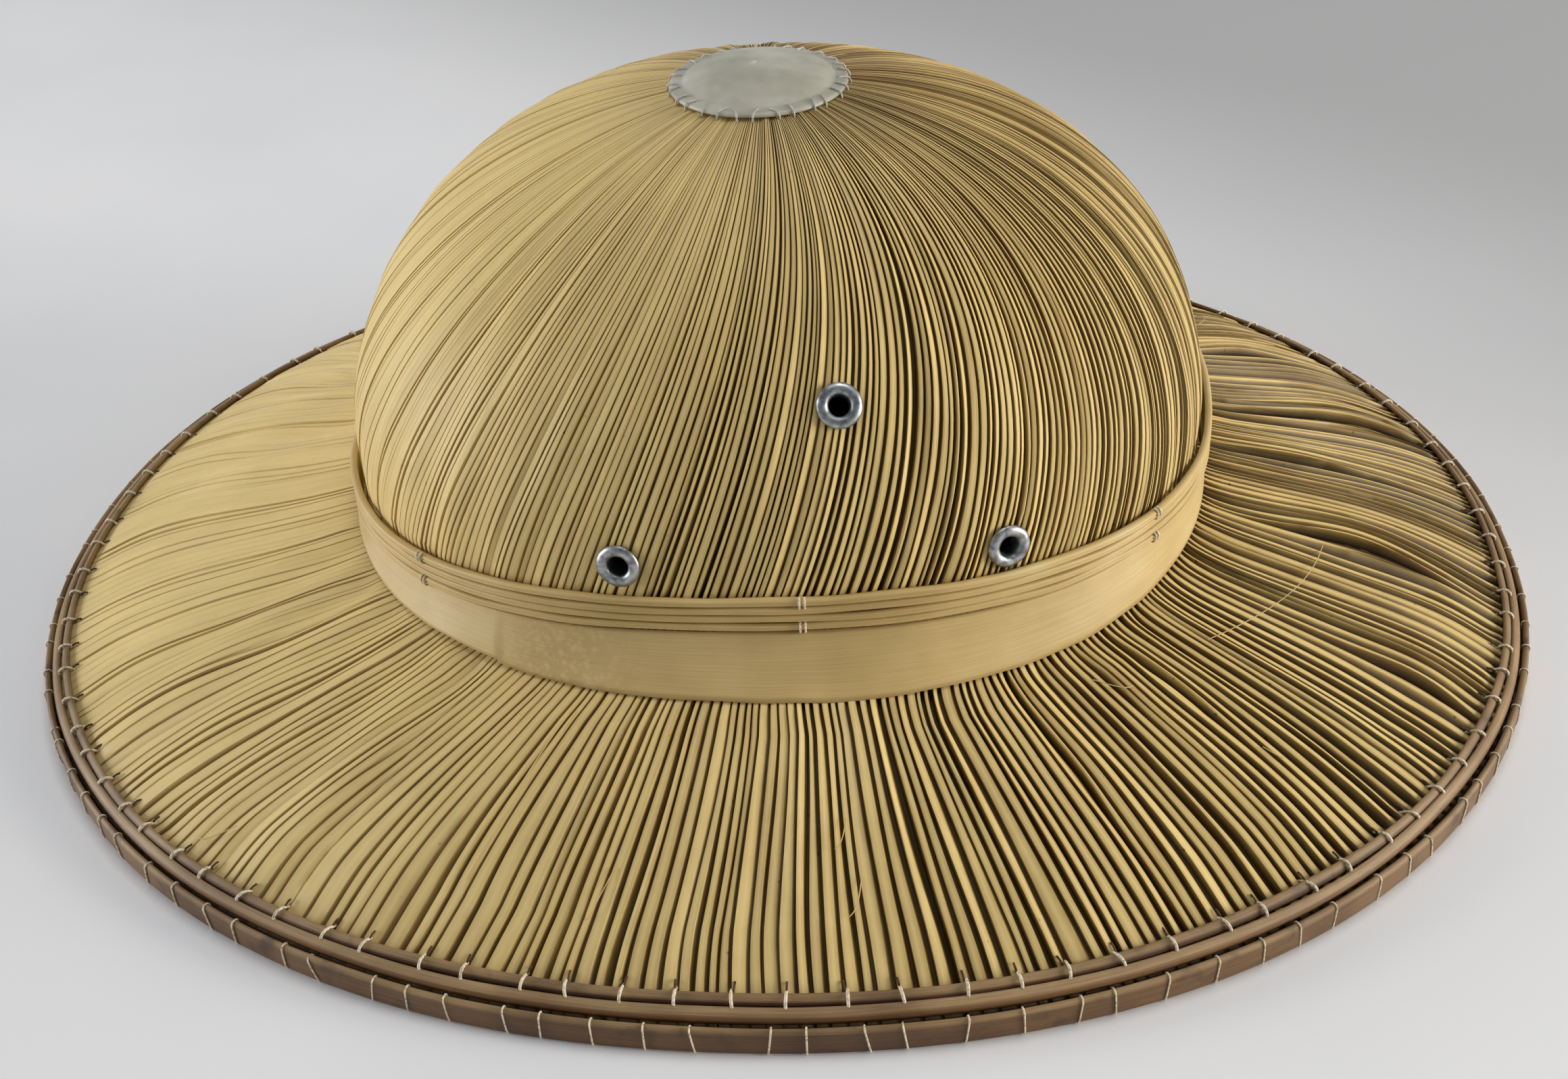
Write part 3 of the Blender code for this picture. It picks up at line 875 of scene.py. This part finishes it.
def make_pleated_brim(pleats, finish):
    """The brim: the same pleats run on under the band and fan out to the hoops."""
    out_share = np.linspace(0, 1, 46) ** 1.05
    in_share = np.linspace(1, 0, 7)
    share = np.concatenate((out_share, in_share))
    bearing = pleats.bearings(share, brim_sway, brim_gape)
    radius = 112 * MM + (190 - 112) * MM * share
    pitch = 2 * np.pi * radius / pleats.count
    edge_free = 1 - smooth_step(share, 0.9, 0.925)
    root_free = smooth_step(share, 0.03, 0.1)
    height = pleats.heights(share, pitch, edge_free * root_free)
    height = np.where(height < 0, height * (0.25 + 0.75 * edge_free)[:, None], height)
    swell = (0.2 * MM + 0.25 * MM * (np.cos(bearing) < -0.5)) * GROUPS(bearing, -share[:, None])
    height = height + swell * (edge_free * root_free)[:, None]
    rows = []
    n = len(out_share)
    groove = pleats.shade_and_highlight_mark(len(share))
    own_start = pleats.spread(pleats.start)
    is_top = np.tile(np.array((0, 0, 1, 1, 1)), pleats.count)
    # Below each lifted blade, the groove's first column gets less painted shade, down to the painted
    # highlight, so that its open face looks lit.
    wide = np.clip(brim_gape(pleats.start, share[:, None]) * MID_BRIM / MM, 0, 1)
    groove[:, ::COLUMNS_PER_PLEAT] *= 1 - 1.5 * wide
    height[:, ::COLUMNS_PER_PLEAT] *= 1 - 0.8 * wide
    # Painted shade: the rows at the rim's edge are painted fully dark.
    groove[share > 0.985] = 1.0
    for i in range(len(share)):
        blades = blade_lift(own_start, share[i])
        if i < n:
            lift = height[i] + blades * is_top
        else:
            lift = -LEAF + 0.35 * height[i] + 0.4 * blades * is_top
        rows.append(brim_place(bearing[i], share[i], lift))
    table = closed(np.stack(rows))
    tips = pleats.spread(np.random.default_rng(9).uniform(0.1, 0.9, pleats.count))
    stain = smooth_step(share, 0.84, 0.93)[:, None] * tips[None, :] * 0.75
    tone = pleats.spread(pleats.tone)[None, :] + 0 * bearing
    piece = rolled_sheet("brim_pleats", table, groove=closed(groove), stain=closed(stain),
                         tone=closed(tone))
    crisp_folds(piece)
    return finished(piece, finish, "pleated_leaf", "brim_leaf")


# Band

def make_leaf_cord(number, finish):
    """One cord of the band: a leaf folded along its middle, so its face shows two ribs."""
    stray = ripples(20 + number, 8, 23, 0)
    swell = ripples(40 + number, 8, 31, 0)
    section = ((-0.95, 0.3), (-0.7, 0.85), (0.0, 1.0), (0.6, 0.92), (0.95, 0.6), (0.99, 0.3),
               (0.78, 0.02), (1.0, -0.3), (0.95, -0.65), (0.6, -0.95), (0.0, -1.0),
               (-0.7, -0.85), (-0.95, -0.3))

    def corner(across, up):
        def places(bearing):
            middle = GAP + CORD / 2 + CORD_SLACK * np.cos(bearing) ** 2
            thick = 1 + 0.07 * swell(bearing, 0)
            offset = middle + 0.16 * MM * stray(bearing, 0) + CORD / 2 * across
            height = band_top(bearing) - CORD / 2 - (number - 1) * CORD_PITCH
            height = height + 0.1 * MM * swell(bearing, 0) + 0.49 * CORD * up * thick
            return np.concatenate((crown_plan(bearing, offset), height[:, None]), -1)
        return places

    table = ring_table(480, [corner(*spot) for spot in section])
    piece = rolled_sheet(f"leaf_cord_{number}", table)
    return finished(piece, finish, "plain_leaf", f"band_cord_{number}")


def make_leaf_strip(finish):
    """The wide strip under the cords, flared like a skirt, with a thin lifted lower edge."""
    wave = ripples(61, 9, 17, 1.2)
    ragged = ripples(62, 10, 60, 0)
    lifted = ripples(63, 6, 12, 0)
    thickness = 0.7 * MM

    def face(part, inset):
        def places(bearing):
            flare = part ** 1.15
            upper = crown_plan(bearing, GAP + STRIP - inset)
            lower = flare_plan(bearing, inset)
            spot = upper + (lower - upper) * flare
            out = spot - np.array((CROWN_SHIFT, 0))
            out = out / np.linalg.norm(out, axis=-1)[:, None]
            spot = spot + out * (0.22 * MM * wave(bearing, part) * np.sin(np.pi * part))[:, None]
            share = brim_share_at(bearing, flare_plan(bearing, 0))
            rest = brim_fall(share) + GAP + 0.3 * MM + 0.3 * MM * lifted(bearing, 0)
            low = np.maximum(rest + 0.15 * MM * ragged(bearing, 0), brim_fall(share) + 0.1 * MM)
            degrees = signed_degrees(bearing)
            under = smooth_step(degrees, -160, -140) * (degrees < -120)
            top = strip_top(bearing)
            height = top + (low + 0.9 * MM * under - top) * part
            return np.concatenate((spot, height[:, None]), -1)
        return places

    parts = np.linspace(0, 1, 12)
    outer = [face(part, 0.0) for part in parts]
    inner = [face(part, thickness) for part in parts[::-2]]
    piece = rolled_sheet("leaf_strip", ring_table(600, outer + inner))
    return finished(piece, finish, "plain_leaf", "band_strip")


KNOTS = ((-82.8, 0), (-82.8, 3), (-132.0, 0), (-132.0, 3), (-36.2, 0), (-36.2, 3))


def make_band_knots(thread, finish):
    """Cream threads that hold the cords together: two turns side by side at each knot."""
    reach = 1.15 * MM
    path = [(0.2 * MM, 0, 1.1 * reach), (1.0 * MM, 0, 1.05 * reach), (1.45 * MM, 0, 0.5 * reach),
            (1.5 * MM, 0, 0), (1.4 * MM, 0, -0.5 * reach), (1.1 * MM, 0, -1.1 * reach),
            (0.4 * MM, 0, -1.3 * reach)]
    places = []
    for degrees, below in KNOTS:
        for aside in (-0.55 * MM, 0.6 * MM):
            bearing = np.array([math.radians(degrees)])
            slack = CORD_SLACK * math.cos(bearing[0]) ** 2
            spot = crown_plan(bearing, GAP + CORD / 2 + slack)[0]
            ahead = crown_plan(bearing + 1e-3, GAP + CORD / 2 + slack)[0] - spot
            ahead = Vector((*ahead, 0)).normalized()
            out = ahead.cross(Vector((0, 0, 1)))
            height = band_top(bearing)[0] - CORD / 2 - below * CORD_PITCH
            origin = Vector((*spot, height)) + aside * ahead
            places.append(set_frame(origin, out, (0, 0, 1)))
    return laced("band_knots", path, thread, places, finish)


# Hoops

def make_seated_hoop(name, node, inset, width, height, seed, finish, slot):
    """A split cane that lies on the brim: flat below, rounded above, its ends lapped."""
    stray = ripples(seed, 9, 19, 0)
    swell = ripples(seed + 1, 9, 40, 0)
    lap = np.random.default_rng(seed).uniform(0, 2 * np.pi)
    section = ((1.0, 0.0), (1.0, 0.5), (0.92, 0.78), (0.75, 0.95), (0.5, 1.0), (0.25, 0.95),
               (0.08, 0.78), (0.0, 0.5), (0.0, 0.0))

    def corner(across, up):
        def places(bearing):
            past = np.mod(bearing - lap, 2 * np.pi)
            thick = 1 + 0.06 * swell(bearing, 0) + 0.22 * (past < 0.22) * (past / 0.22)
            place = inset + width * across + 0.18 * MM * stray(bearing, 0)
            share = brim_share(bearing, place)
            return brim_place(bearing, share, GAP + height * up * thick)
        return places

    table = ring_table(720, [corner(*spot) for spot in section])
    face = skin_and_shade_mark(section, 720, lambda across, up: across < 0.1)
    return finished(rolled_sheet(name, table, skin=face), finish, slot, node)


def skin_and_shade_mark(section, columns, has_skin):
    """1 on the corners of a hoop's section that show the cane's dark outer rind, most at the front:
    real rind, with painted shade added towards the front.
    """
    rows = [1.0 if has_skin(*corner) else 0.0 for corner in section]
    bearing = np.linspace(0, 2 * np.pi, columns + 1)
    # Painted shade: the mark rises towards the front, where the outer face is in shadow.
    front = 0.4 + 0.6 * np.exp(-(np.degrees(bearing - np.radians(270)) / 55) ** 2)
    return np.outer(np.array(rows + rows[:1]), front)


def make_outer_hoop(finish):
    """The tall split cane that the hat stands on, round over its top edge."""
    stray = ripples(91, 9, 15, 0)
    swell = ripples(92, 9, 33, 0)
    section = ((1.0, 0.0), (0.35, 0.0), (0.08, 0.06), (0.0, 0.16), (0.0, 0.5), (0.02, 0.8),
               (0.12, 0.93), (0.35, 1.0), (0.7, 1.0), (0.93, 0.94), (1.0, 0.82), (1.0, 0.4))

    def corner(across, up):
        def places(bearing):
            inset = HOOP_WIDTH * across + 0.12 * MM * (1 + stray(bearing, 0)) * (across < 0.5)
            height = HOOP_TOP * up * (1 + 0.02 * swell(bearing, 0) * (up > 0.5))
            spot = rim_plan(bearing, inset)
            return np.concatenate((spot, (height + 0 * bearing)[:, None]), -1)
        return places

    table = ring_table(720, [corner(*spot) for spot in section])
    face = skin_and_shade_mark(section, 720, lambda across, up: across < 0.1 and up < 0.9)
    hoop = rolled_sheet("rim_cane_outer", table, skin=face)
    return finished(hoop, finish, "dark_cane", "hoop_outer")


def even_bearings(inset, pitch, seed, jitter=0.12):
    """Bearings an even distance apart along the rim, each a little off its place."""
    rng = np.random.default_rng(seed)
    bearing = np.linspace(0, 2 * np.pi, 4001)
    steps = np.linalg.norm(np.diff(rim_plan(bearing, inset), axis=0), axis=1)
    run = np.concatenate(([0], np.cumsum(steps)))
    count = round(run[-1] / pitch)
    spots = (np.arange(count) + rng.uniform(-jitter, jitter, count)) * run[-1] / count
    return np.interp(spots, run, bearing)


def brim_frame(bearing, inset, lean=0.0):
    """Matrix of a place on the brim: X points down the slope, Z away from the leaf."""
    spread = np.array([bearing, bearing, bearing + 1e-3])
    share = brim_share(spread, np.array([inset, inset - 0.5 * MM, inset]))
    here, out, aside = brim_place(spread, share)
    slope = Vector(out - here).normalized()
    along = Vector(aside - here).normalized()
    up = slope.cross(along)
    slope = slope + lean * along
    return set_frame(Vector(here) + GAP * up, slope, up)


def make_inner_threads(thread, pitch, finish):
    """Thick threads over the inner hoop, each out of a hole in the leaf and round the cane."""
    rng = np.random.default_rng(73)
    path = [(-2.6, 0, -0.9), (-2.1, 0, 0.3), (-1.6, 0, 1.25), (-0.9, 0, 1.95), (0.1, 0, 2.1),
            (0.95, 0, 1.8), (1.45, 0, 1.0), (1.5, 0, -0.5)]
    places = [brim_frame(bearing, INNER_INSET + 1.3 * MM, rng.normal(0, 0.12))
              for bearing in even_bearings(INNER_INSET, pitch, 71)]
    return laced("hoop_threads_inner", in_mm(path), thread, places, finish)


def make_outer_threads(thread, pitch, finish):
    """Fine threads over the rim's top edge and down its outer face."""
    rng = np.random.default_rng(83)
    path = [(-2.0, 0, 5.4), (-1.95, 0, 7.1), (-1.5, 0, 7.55), (-0.5, 0, 7.55), (0.02, 0, 6.9),
            (0.08, 0, 3.9), (0.06, 0, 1.4), (-0.2, 0, 0.3)]
    places = []
    for bearing in even_bearings(0, 0.93 * pitch, 81, 0.22):
        pair = rim_plan(np.array([bearing, bearing + 1e-3]), 0)
        along = Vector((*(pair[1] - pair[0]), 0)).normalized()
        out = along.cross(Vector((0, 0, 1)))
        up = Vector((0, 0, 1)) + rng.normal(0, 0.12) * along
        places.append(set_frame((*pair[0], 0), out, up))
    return laced("hoop_threads_outer", in_mm(path), thread, places, finish)


def make_thread_slits(pitch, finish):
    """Dark strands painted with the shadow inside the slits torn in the leaf where the inner hoop's
    threads go down.
    """
    rng = np.random.default_rng(75)
    path = [(-4.6, 0, -0.05), (-3.8, 0, 0.3), (-2.9, 0, 0.35), (-2.2, 0, 0.1)]
    places = [brim_frame(bearing, INNER_INSET + 1.05 * MM, rng.normal(0, 0.1))
              for bearing in even_bearings(INNER_INSET, pitch, 71)]
    return laced("thread_slits", in_mm(path), 0.55 * MM, places, finish)


FIBRES = (                     # bearing and share at each end, rise in mm between them
    (-15, 0.40, -38, 0.26, 2.2),
    (-44, 0.58, -43.4, 0.63, 0.8),
    (-52, 0.18, -49, 0.25, 1.0),
    (-79.5, 0.62, -80.7, 0.72, 1.2),
    (-80, 0.44, -81.2, 0.53, 1.2),
    (-98, 0.6, -99, 0.75, 1.0),
    (-108, 0.14, -108.6, 0.7, 1.0),
    (-128, 0.8, -130, 0.88, 0.8),
    (35, 0.4, 39, 0.5, 1.0),
    (95, 0.6, 90, 0.7, 1.0),
    (140, 0.5, 144, 0.62, 1.2),
)


def make_loose_fibres(finish):
    """A few hair-thin fibres that have sprung off the brim."""
    strands = []
    for number, (degrees, share, last_degrees, last_share, rise) in enumerate(FIBRES):
        part = np.linspace(0, 1, 24)
        bearing = np.radians(degrees + (last_degrees - degrees) * part)
        bend = 0.03 * np.sin(np.pi * part)
        down = share + (last_share - share) * part + bend
        path = brim_place(bearing, down, (0.5 + rise * np.sin(np.pi * part)) * MM)
        hair = strand(f"fibre_{number}", [tuple(spot) for spot in path], 0.25 * MM)
        strands.append(hair)
    return finished(joined(strands, "loose_fibres"), finish, None)


# Disc

def disc_seat(radius):
    """Height of the dome's highest place at a radius from the disc's middle."""
    turn = np.linspace(0, 2 * np.pi, 60)
    along = np.abs(DISC_SHIFT - CROWN_SHIFT + radius * np.cos(turn)) / CROWN_HALF[0]
    across = np.abs(radius * np.sin(turn)) / CROWN_HALF[1]
    reach = (along ** CROWN_SQUARENESS + across ** CROWN_SQUARENESS) ** (1 / CROWN_SQUARENESS)
    return (BAND_TOP + CROWN_RISE * np.sqrt(1 - reach * reach)).max() + GAP


def make_disc(radius, finish):
    """The frosted disc: a shallow dome pressed inside a flat flange, turned round."""
    flange = radius - 3.4 * MM
    over = [(radius, 0.35), (radius - 0.25 * MM, 0.75), (radius - 0.9 * MM, 0.85),
            (flange + 0.4 * MM, 0.85), (flange, 0.95), (flange - 0.6 * MM, 1.4),
            (0.74 * radius, 2.1), (0.6 * radius, 2.75), (0.45 * radius, 3.25),
            (0.28 * radius, 3.6), (0.12 * radius, 3.75), (0.005 * radius, 3.78)]
    under = [(0.005 * radius, 0.0), (0.4 * radius, 0.0), (0.75 * radius, 0.0), (radius, 0.0)]
    profile = [(r, disc_seat(r) + up * MM) for r, up in over + under]
    piece = turned("top_disc_frosted", profile, 72)
    piece.data.transform(Matrix.Translation((DISC_SHIFT, 0, 0)))
    close_holes(piece)
    return finished(piece, finish, "disc_plastic", "top_disc")


def close_holes(piece):
    pick(piece)
    bpy.ops.object.mode_set(mode="EDIT")
    bpy.ops.mesh.select_all(action="SELECT")
    bpy.ops.mesh.fill_holes(sides=0)
    bpy.ops.mesh.normals_make_consistent(inside=False)
    bpy.ops.object.mode_set(mode="OBJECT")


def make_disc_stitches(radius, finish):
    """Clear line whipped over the disc's edge into the leaf."""
    rng = np.random.default_rng(97)
    path = [(-2.9, 0, 0.4), (-2.6, 0, 1.0), (-1.2, 0, 1.15), (-0.1, 0, 1.05), (0.45, 0, 0.4),
            (0.8, 0, -0.7)]
    places = []
    count = 29
    for i in range(count):
        turn = 2 * math.pi * (i + rng.uniform(-0.2, 0.2)) / count
        out = Vector((math.cos(turn), math.sin(turn), -0.16))
        side = Vector((-math.sin(turn), math.cos(turn), 0))
        spot = (DISC_SHIFT + radius * math.cos(turn), radius * math.sin(turn), disc_seat(radius))
        places.append(set_frame(spot, out + rng.normal(0, 0.35) * side, (0, 0, 1)))
    return laced("disc_stitches", in_mm(path), 0.5 * MM, places, finish)


# Eyelets

def eyelet_places():
    """Middle, outward direction, crest and back of each eyelet, read from its solid."""
    places = []
    for name in sorted(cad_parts):
        if not name.startswith("eyelet"):
            continue
        corners = np.array([v.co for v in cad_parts[name].data.vertices])
        middle = corners.mean(0)
        axes = np.linalg.eigh(np.cov((corners - middle).T))[1]
        out = axes[:, 0]
        out = out * np.sign(out @ (middle - np.array((0, 0, BAND_TOP))))
        along = (corners - middle) @ out
        places.append((middle, out, along.max(), along.min()))
    return places


def cut_eyelet_holes(piece, eyelets):
    """Cut the eyelets' holes out of the crown."""
    cutters = []
    for spot, out, crest, back in eyelets:
        start_fresh()
        bpy.ops.mesh.primitive_cylinder_add(vertices=24, radius=3.2 * MM, depth=16 * MM)
        cutter = bpy.context.object
        cutter.data.transform(Vector(out).to_track_quat("Z", "Y").to_matrix().to_4x4())
        cutter.data.transform(Matrix.Translation(spot))
        cutters.append(cutter)
    cutter = joined(cutters, "eyelet_cutter")
    pick(piece)
    hole = piece.modifiers.new("eyelet holes", "BOOLEAN")
    hole.operation = "DIFFERENCE"
    hole.object = cutter
    bpy.ops.object.modifier_apply(modifier=hole.name)
    bpy.data.objects.remove(cutter, do_unlink=True)


def make_eyelets(finish):
    """Six pressed eyelets: a rolled flange, a barrel through the leaf and a flattened back."""
    names = [name for name in sorted(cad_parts) if name.startswith("eyelet")]
    made = []
    for name, (spot, out, crest, back) in zip(names, eyelet_places()):
        seat = crest - EYELET_RISE
        front = [(5.1, 0.0), (5.3, 0.22), (5.25, 0.55), (4.95, 0.92), (4.45, 1.2), (3.9, 1.3),
                 (3.3, 1.2), (2.8, 0.9), (2.5, 0.45)]
        profile = [(r * MM, seat + up * MM) for r, up in front]
        profile += [(2.4 * MM, seat - 0.6 * MM), (2.4 * MM, back + 0.5 * MM),
                    (2.8 * MM, back + 0.1 * MM), (3.5 * MM, back), (4.4 * MM, back + 0.1 * MM),
                    (4.6 * MM, back + 0.35 * MM), (4.3 * MM, back + 0.6 * MM),
                    (3.2 * MM, back + 0.7 * MM), (3.0 * MM, seat)]
        piece = turned(name.replace("eyelet", "steel_eyelet"), profile, 40)
        piece.data.transform(Vector(out).to_track_quat("Z", "Y").to_matrix().to_4x4())
        piece.data.transform(Matrix.Translation(spot))
        made.append(finished(piece, finish, "eyelet_steel", name))
    return made


# Stage

def make_stage(finish):
    """A wide pale floor, soft light from the left and behind, and the camera."""
    start_fresh()
    bpy.ops.mesh.primitive_grid_add(x_subdivisions=8, y_subdivisions=8, size=6)
    floor = bpy.context.object
    floor.name = "floor"
    floor.data.materials.append(finish)

    world = bpy.data.worlds.new("soft sky")
    bpy.context.scene.world = world
    world.use_nodes = True
    tree = world.node_tree
    sky = tree.nodes["Background"]
    sky.inputs["Color"].default_value = colour("f3f5f8")
    toward = add_node(tree, "ShaderNodeTexCoord")
    parts = add_node(tree, "ShaderNodeSeparateXYZ", {"Vector": toward.outputs["Generated"]})
    upward = add_node(tree, "ShaderNodeMapRange", {
        "Value": parts.outputs["Z"], "From Min": 0.2, "From Max": 0.9, "To Min": 0.62, "To Max": 0.17})
    backward = add_node(tree, "ShaderNodeMapRange", {
        "Value": parts.outputs["Y"], "From Min": -1.0, "From Max": 0.2, "To Min": 0.4, "To Max": 1.0})
    strength = add_node(tree, "ShaderNodeMath", {
        0: upward.outputs["Result"], 1: backward.outputs["Result"]}, operation="MULTIPLY")
    tree.links.new(strength.outputs["Value"], sky.inputs["Strength"])

    lamps = (
        ("window", (-2.4, -0.1, 0.45), 1.1, 38, "fbfcff"),
        ("ceiling", (0.2, 0.2, 1.9), 0.9, 10, "ffffff"),
        ("far wall", (2.3, -0.3, 0.55), 1.0, 46, "fffaf3"),
    )
    for name, place, size, power, tint in lamps:
        start_fresh()
        bpy.ops.object.light_add(type="AREA", location=place)
        lamp = bpy.context.object
        lamp.name = name
        lamp.data.size = size
        lamp.data.energy = power
        lamp.data.color = colour(tint)[:3]
        aim = Vector((0, 0, 0.06)) - lamp.location
        lamp.rotation_mode = "QUATERNION"
        lamp.rotation_quaternion = aim.to_track_quat("-Z", "Y")

    start_fresh()
    bpy.ops.object.camera_add()
    camera = bpy.context.object
    camera.data.lens = CAMERA_LENS
    camera.data.sensor_width = CAMERA_SENSOR
    camera.data.clip_start = 0.01
    back = Vector((math.sin(CAMERA_AZIMUTH) * math.cos(CAMERA_ELEVATION),
                   -math.cos(CAMERA_AZIMUTH) * math.cos(CAMERA_ELEVATION),
                   math.sin(CAMERA_ELEVATION)))
    right = (-back).cross(Vector((0, 0, 1))).normalized()
    up = right.cross(-back)
    tilted_right = right * math.cos(CAMERA_ROLL) + up * math.sin(CAMERA_ROLL)
    tilted_up = up * math.cos(CAMERA_ROLL) - right * math.sin(CAMERA_ROLL)
    turn = Matrix((tilted_right, tilted_up, back)).transposed()
    camera.rotation_mode = "QUATERNION"
    camera.rotation_quaternion = turn.to_quaternion()
    camera.location = CAMERA_TARGET + back * CAMERA_DISTANCE
    bpy.context.scene.camera = camera
    bpy.context.scene.view_settings.view_transform = "Standard"


# Operators, one for each group of pieces

class HELMET_OT_leaf(bpy.types.Operator):
    """Model the pleated crown and brim"""
    bl_idname = "helmet.leaf"
    bl_label = "Pleated crown and brim"

    def execute(self, context):
        sizes = context.scene.helmet_sizes
        pleats = Pleats(sizes.pleats, sizes.groove)
        make_pleated_crown(pleats, pleated_leaf("palm leaf, pleated, crown", 330 * MM))
        make_pleated_brim(pleats, pleated_leaf("palm leaf, pleated, brim", 190 * MM))
        return {"FINISHED"}


class HELMET_OT_band(bpy.types.Operator):
    """Model the four leaf cords, the flared strip and the knots"""
    bl_idname = "helmet.band"
    bl_label = "Band"

    def execute(self, context):
        cord_leaf = flat_leaf("palm leaf, folded cord", 700 * MM, 8 * MM)
        for number in range(1, CORD_COUNT + 1):
            make_leaf_cord(number, cord_leaf)
        bent = crown_plan(np.radians([-110.0]), 6 * MM)[0]
        crackle = (float(bent[0]), float(bent[1]), 47 * MM)
        make_leaf_strip(flat_leaf("palm leaf, wide strip", 720 * MM, 40 * MM, crackle))
        make_band_knots(0.75 * context.scene.helmet_sizes.thread, cotton_thread("cotton, knots"))
        return {"FINISHED"}


class HELMET_OT_hoops(bpy.types.Operator):
    """Model the three cane hoops and the threads that bind them"""
    bl_idname = "helmet.hoops"
    bl_label = "Hoops and threads"

    def execute(self, context):
        sizes = context.scene.helmet_sizes
        cane = context.scene.helmet_colours.cane
        # The last colour of each cane darkens its hoop's outer face: part real rind, part painted
        # shade at the front.
        dark = split_cane("split cane, smoked", 1240 * MM, 10 * MM, cane, colour("80603c"),
                          colour("7a5a44"), 0.45)
        light = split_cane("split cane, pale", 1220 * MM, 7 * MM, colour("b39468"),
                           colour("94734c"), colour("c0a890"), 0.15)
        outer = split_cane("split cane, scorched", 1240 * MM, 18 * MM, cane,
                           colour("80603c"), colour("b39c7e"), 0.75)
        make_seated_hoop("rim_cane_inner", "hoop_inner", INNER_INSET, 2.1 * MM, 1.8 * MM, 101,
                         dark, "dark_cane")
        make_seated_hoop("rim_cane_middle", "hoop_middle", MIDDLE_INSET, 2.4 * MM, 1.8 * MM, 111,
                         light, "light_cane")
        make_outer_hoop(outer)
        cotton = cotton_thread("cotton, rim threads")
        make_inner_threads(sizes.thread, sizes.stitch_pitch, cotton)
        make_thread_slits(sizes.stitch_pitch, slit_shadow_leaf("palm leaf, painted slit shadow"))
        make_loose_fibres(flat_leaf("palm leaf, split fibre", 60 * MM, 2 * MM))
        make_outer_threads(sizes.fine_thread, sizes.stitch_pitch, cotton)
        return {"FINISHED"}


class HELMET_OT_disc(bpy.types.Operator):
    """Model the top disc and the clear stitches round it"""
    bl_idname = "helmet.disc"
    bl_label = "Top disc"

    def execute(self, context):
        radius = context.scene.helmet_sizes.disc_radius
        make_disc(radius, frosted_plastic("polyethylene, frosted"))
        make_disc_stitches(radius, clear_nylon("nylon line, clear"))
        return {"FINISHED"}


class HELMET_OT_eyelets(bpy.types.Operator):
    """Model the six metal eyelets"""
    bl_idname = "helmet.eyelets"
    bl_label = "Eyelets"

    def execute(self, context):
        make_eyelets(plated_steel("steel, nickel plated"))
        return {"FINISHED"}


class HELMET_OT_stage(bpy.types.Operator):
    """Add the floor, the light and the camera"""
    bl_idname = "helmet.stage"
    bl_label = "Stage"

    def execute(self, context):
        make_stage(painted_floor("board, painted white"))
        return {"FINISHED"}


OPERATORS = (HELMET_OT_leaf, HELMET_OT_band, HELMET_OT_hoops, HELMET_OT_disc,
             HELMET_OT_eyelets, HELMET_OT_stage)


class HELMET_PT_tools(bpy.types.Panel):
    """Sizes, colours and steps of the helmet"""
    bl_label = "Pith helmet"
    bl_idname = "HELMET_PT_tools"
    bl_space_type = "VIEW_3D"
    bl_region_type = "UI"
    bl_category = "Helmet"

    def draw(self, context):
        column = self.layout.column()
        for group in (context.scene.helmet_sizes, context.scene.helmet_colours):
            for key in group.__annotations__:
                column.prop(group, key)
        for operator in OPERATORS:
            column.operator(operator.bl_idname)


CLASSES = (HelmetSizes, HelmetColours, *OPERATORS, HELMET_PT_tools)


def register():
    for item in CLASSES:
        bpy.utils.register_class(item)
    bpy.types.Scene.helmet_sizes = PointerProperty(type=HelmetSizes)
    bpy.types.Scene.helmet_colours = PointerProperty(type=HelmetColours)


def unregister():
    del bpy.types.Scene.helmet_colours
    del bpy.types.Scene.helmet_sizes
    for item in reversed(CLASSES):
        bpy.utils.unregister_class(item)


def main():
    """Build every piece in order."""
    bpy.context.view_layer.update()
    register()
    for operator in OPERATORS:
        area, step = operator.bl_idname.split(".")
        getattr(getattr(bpy.ops, area), step)()


if __name__ == "__main__":
    main()
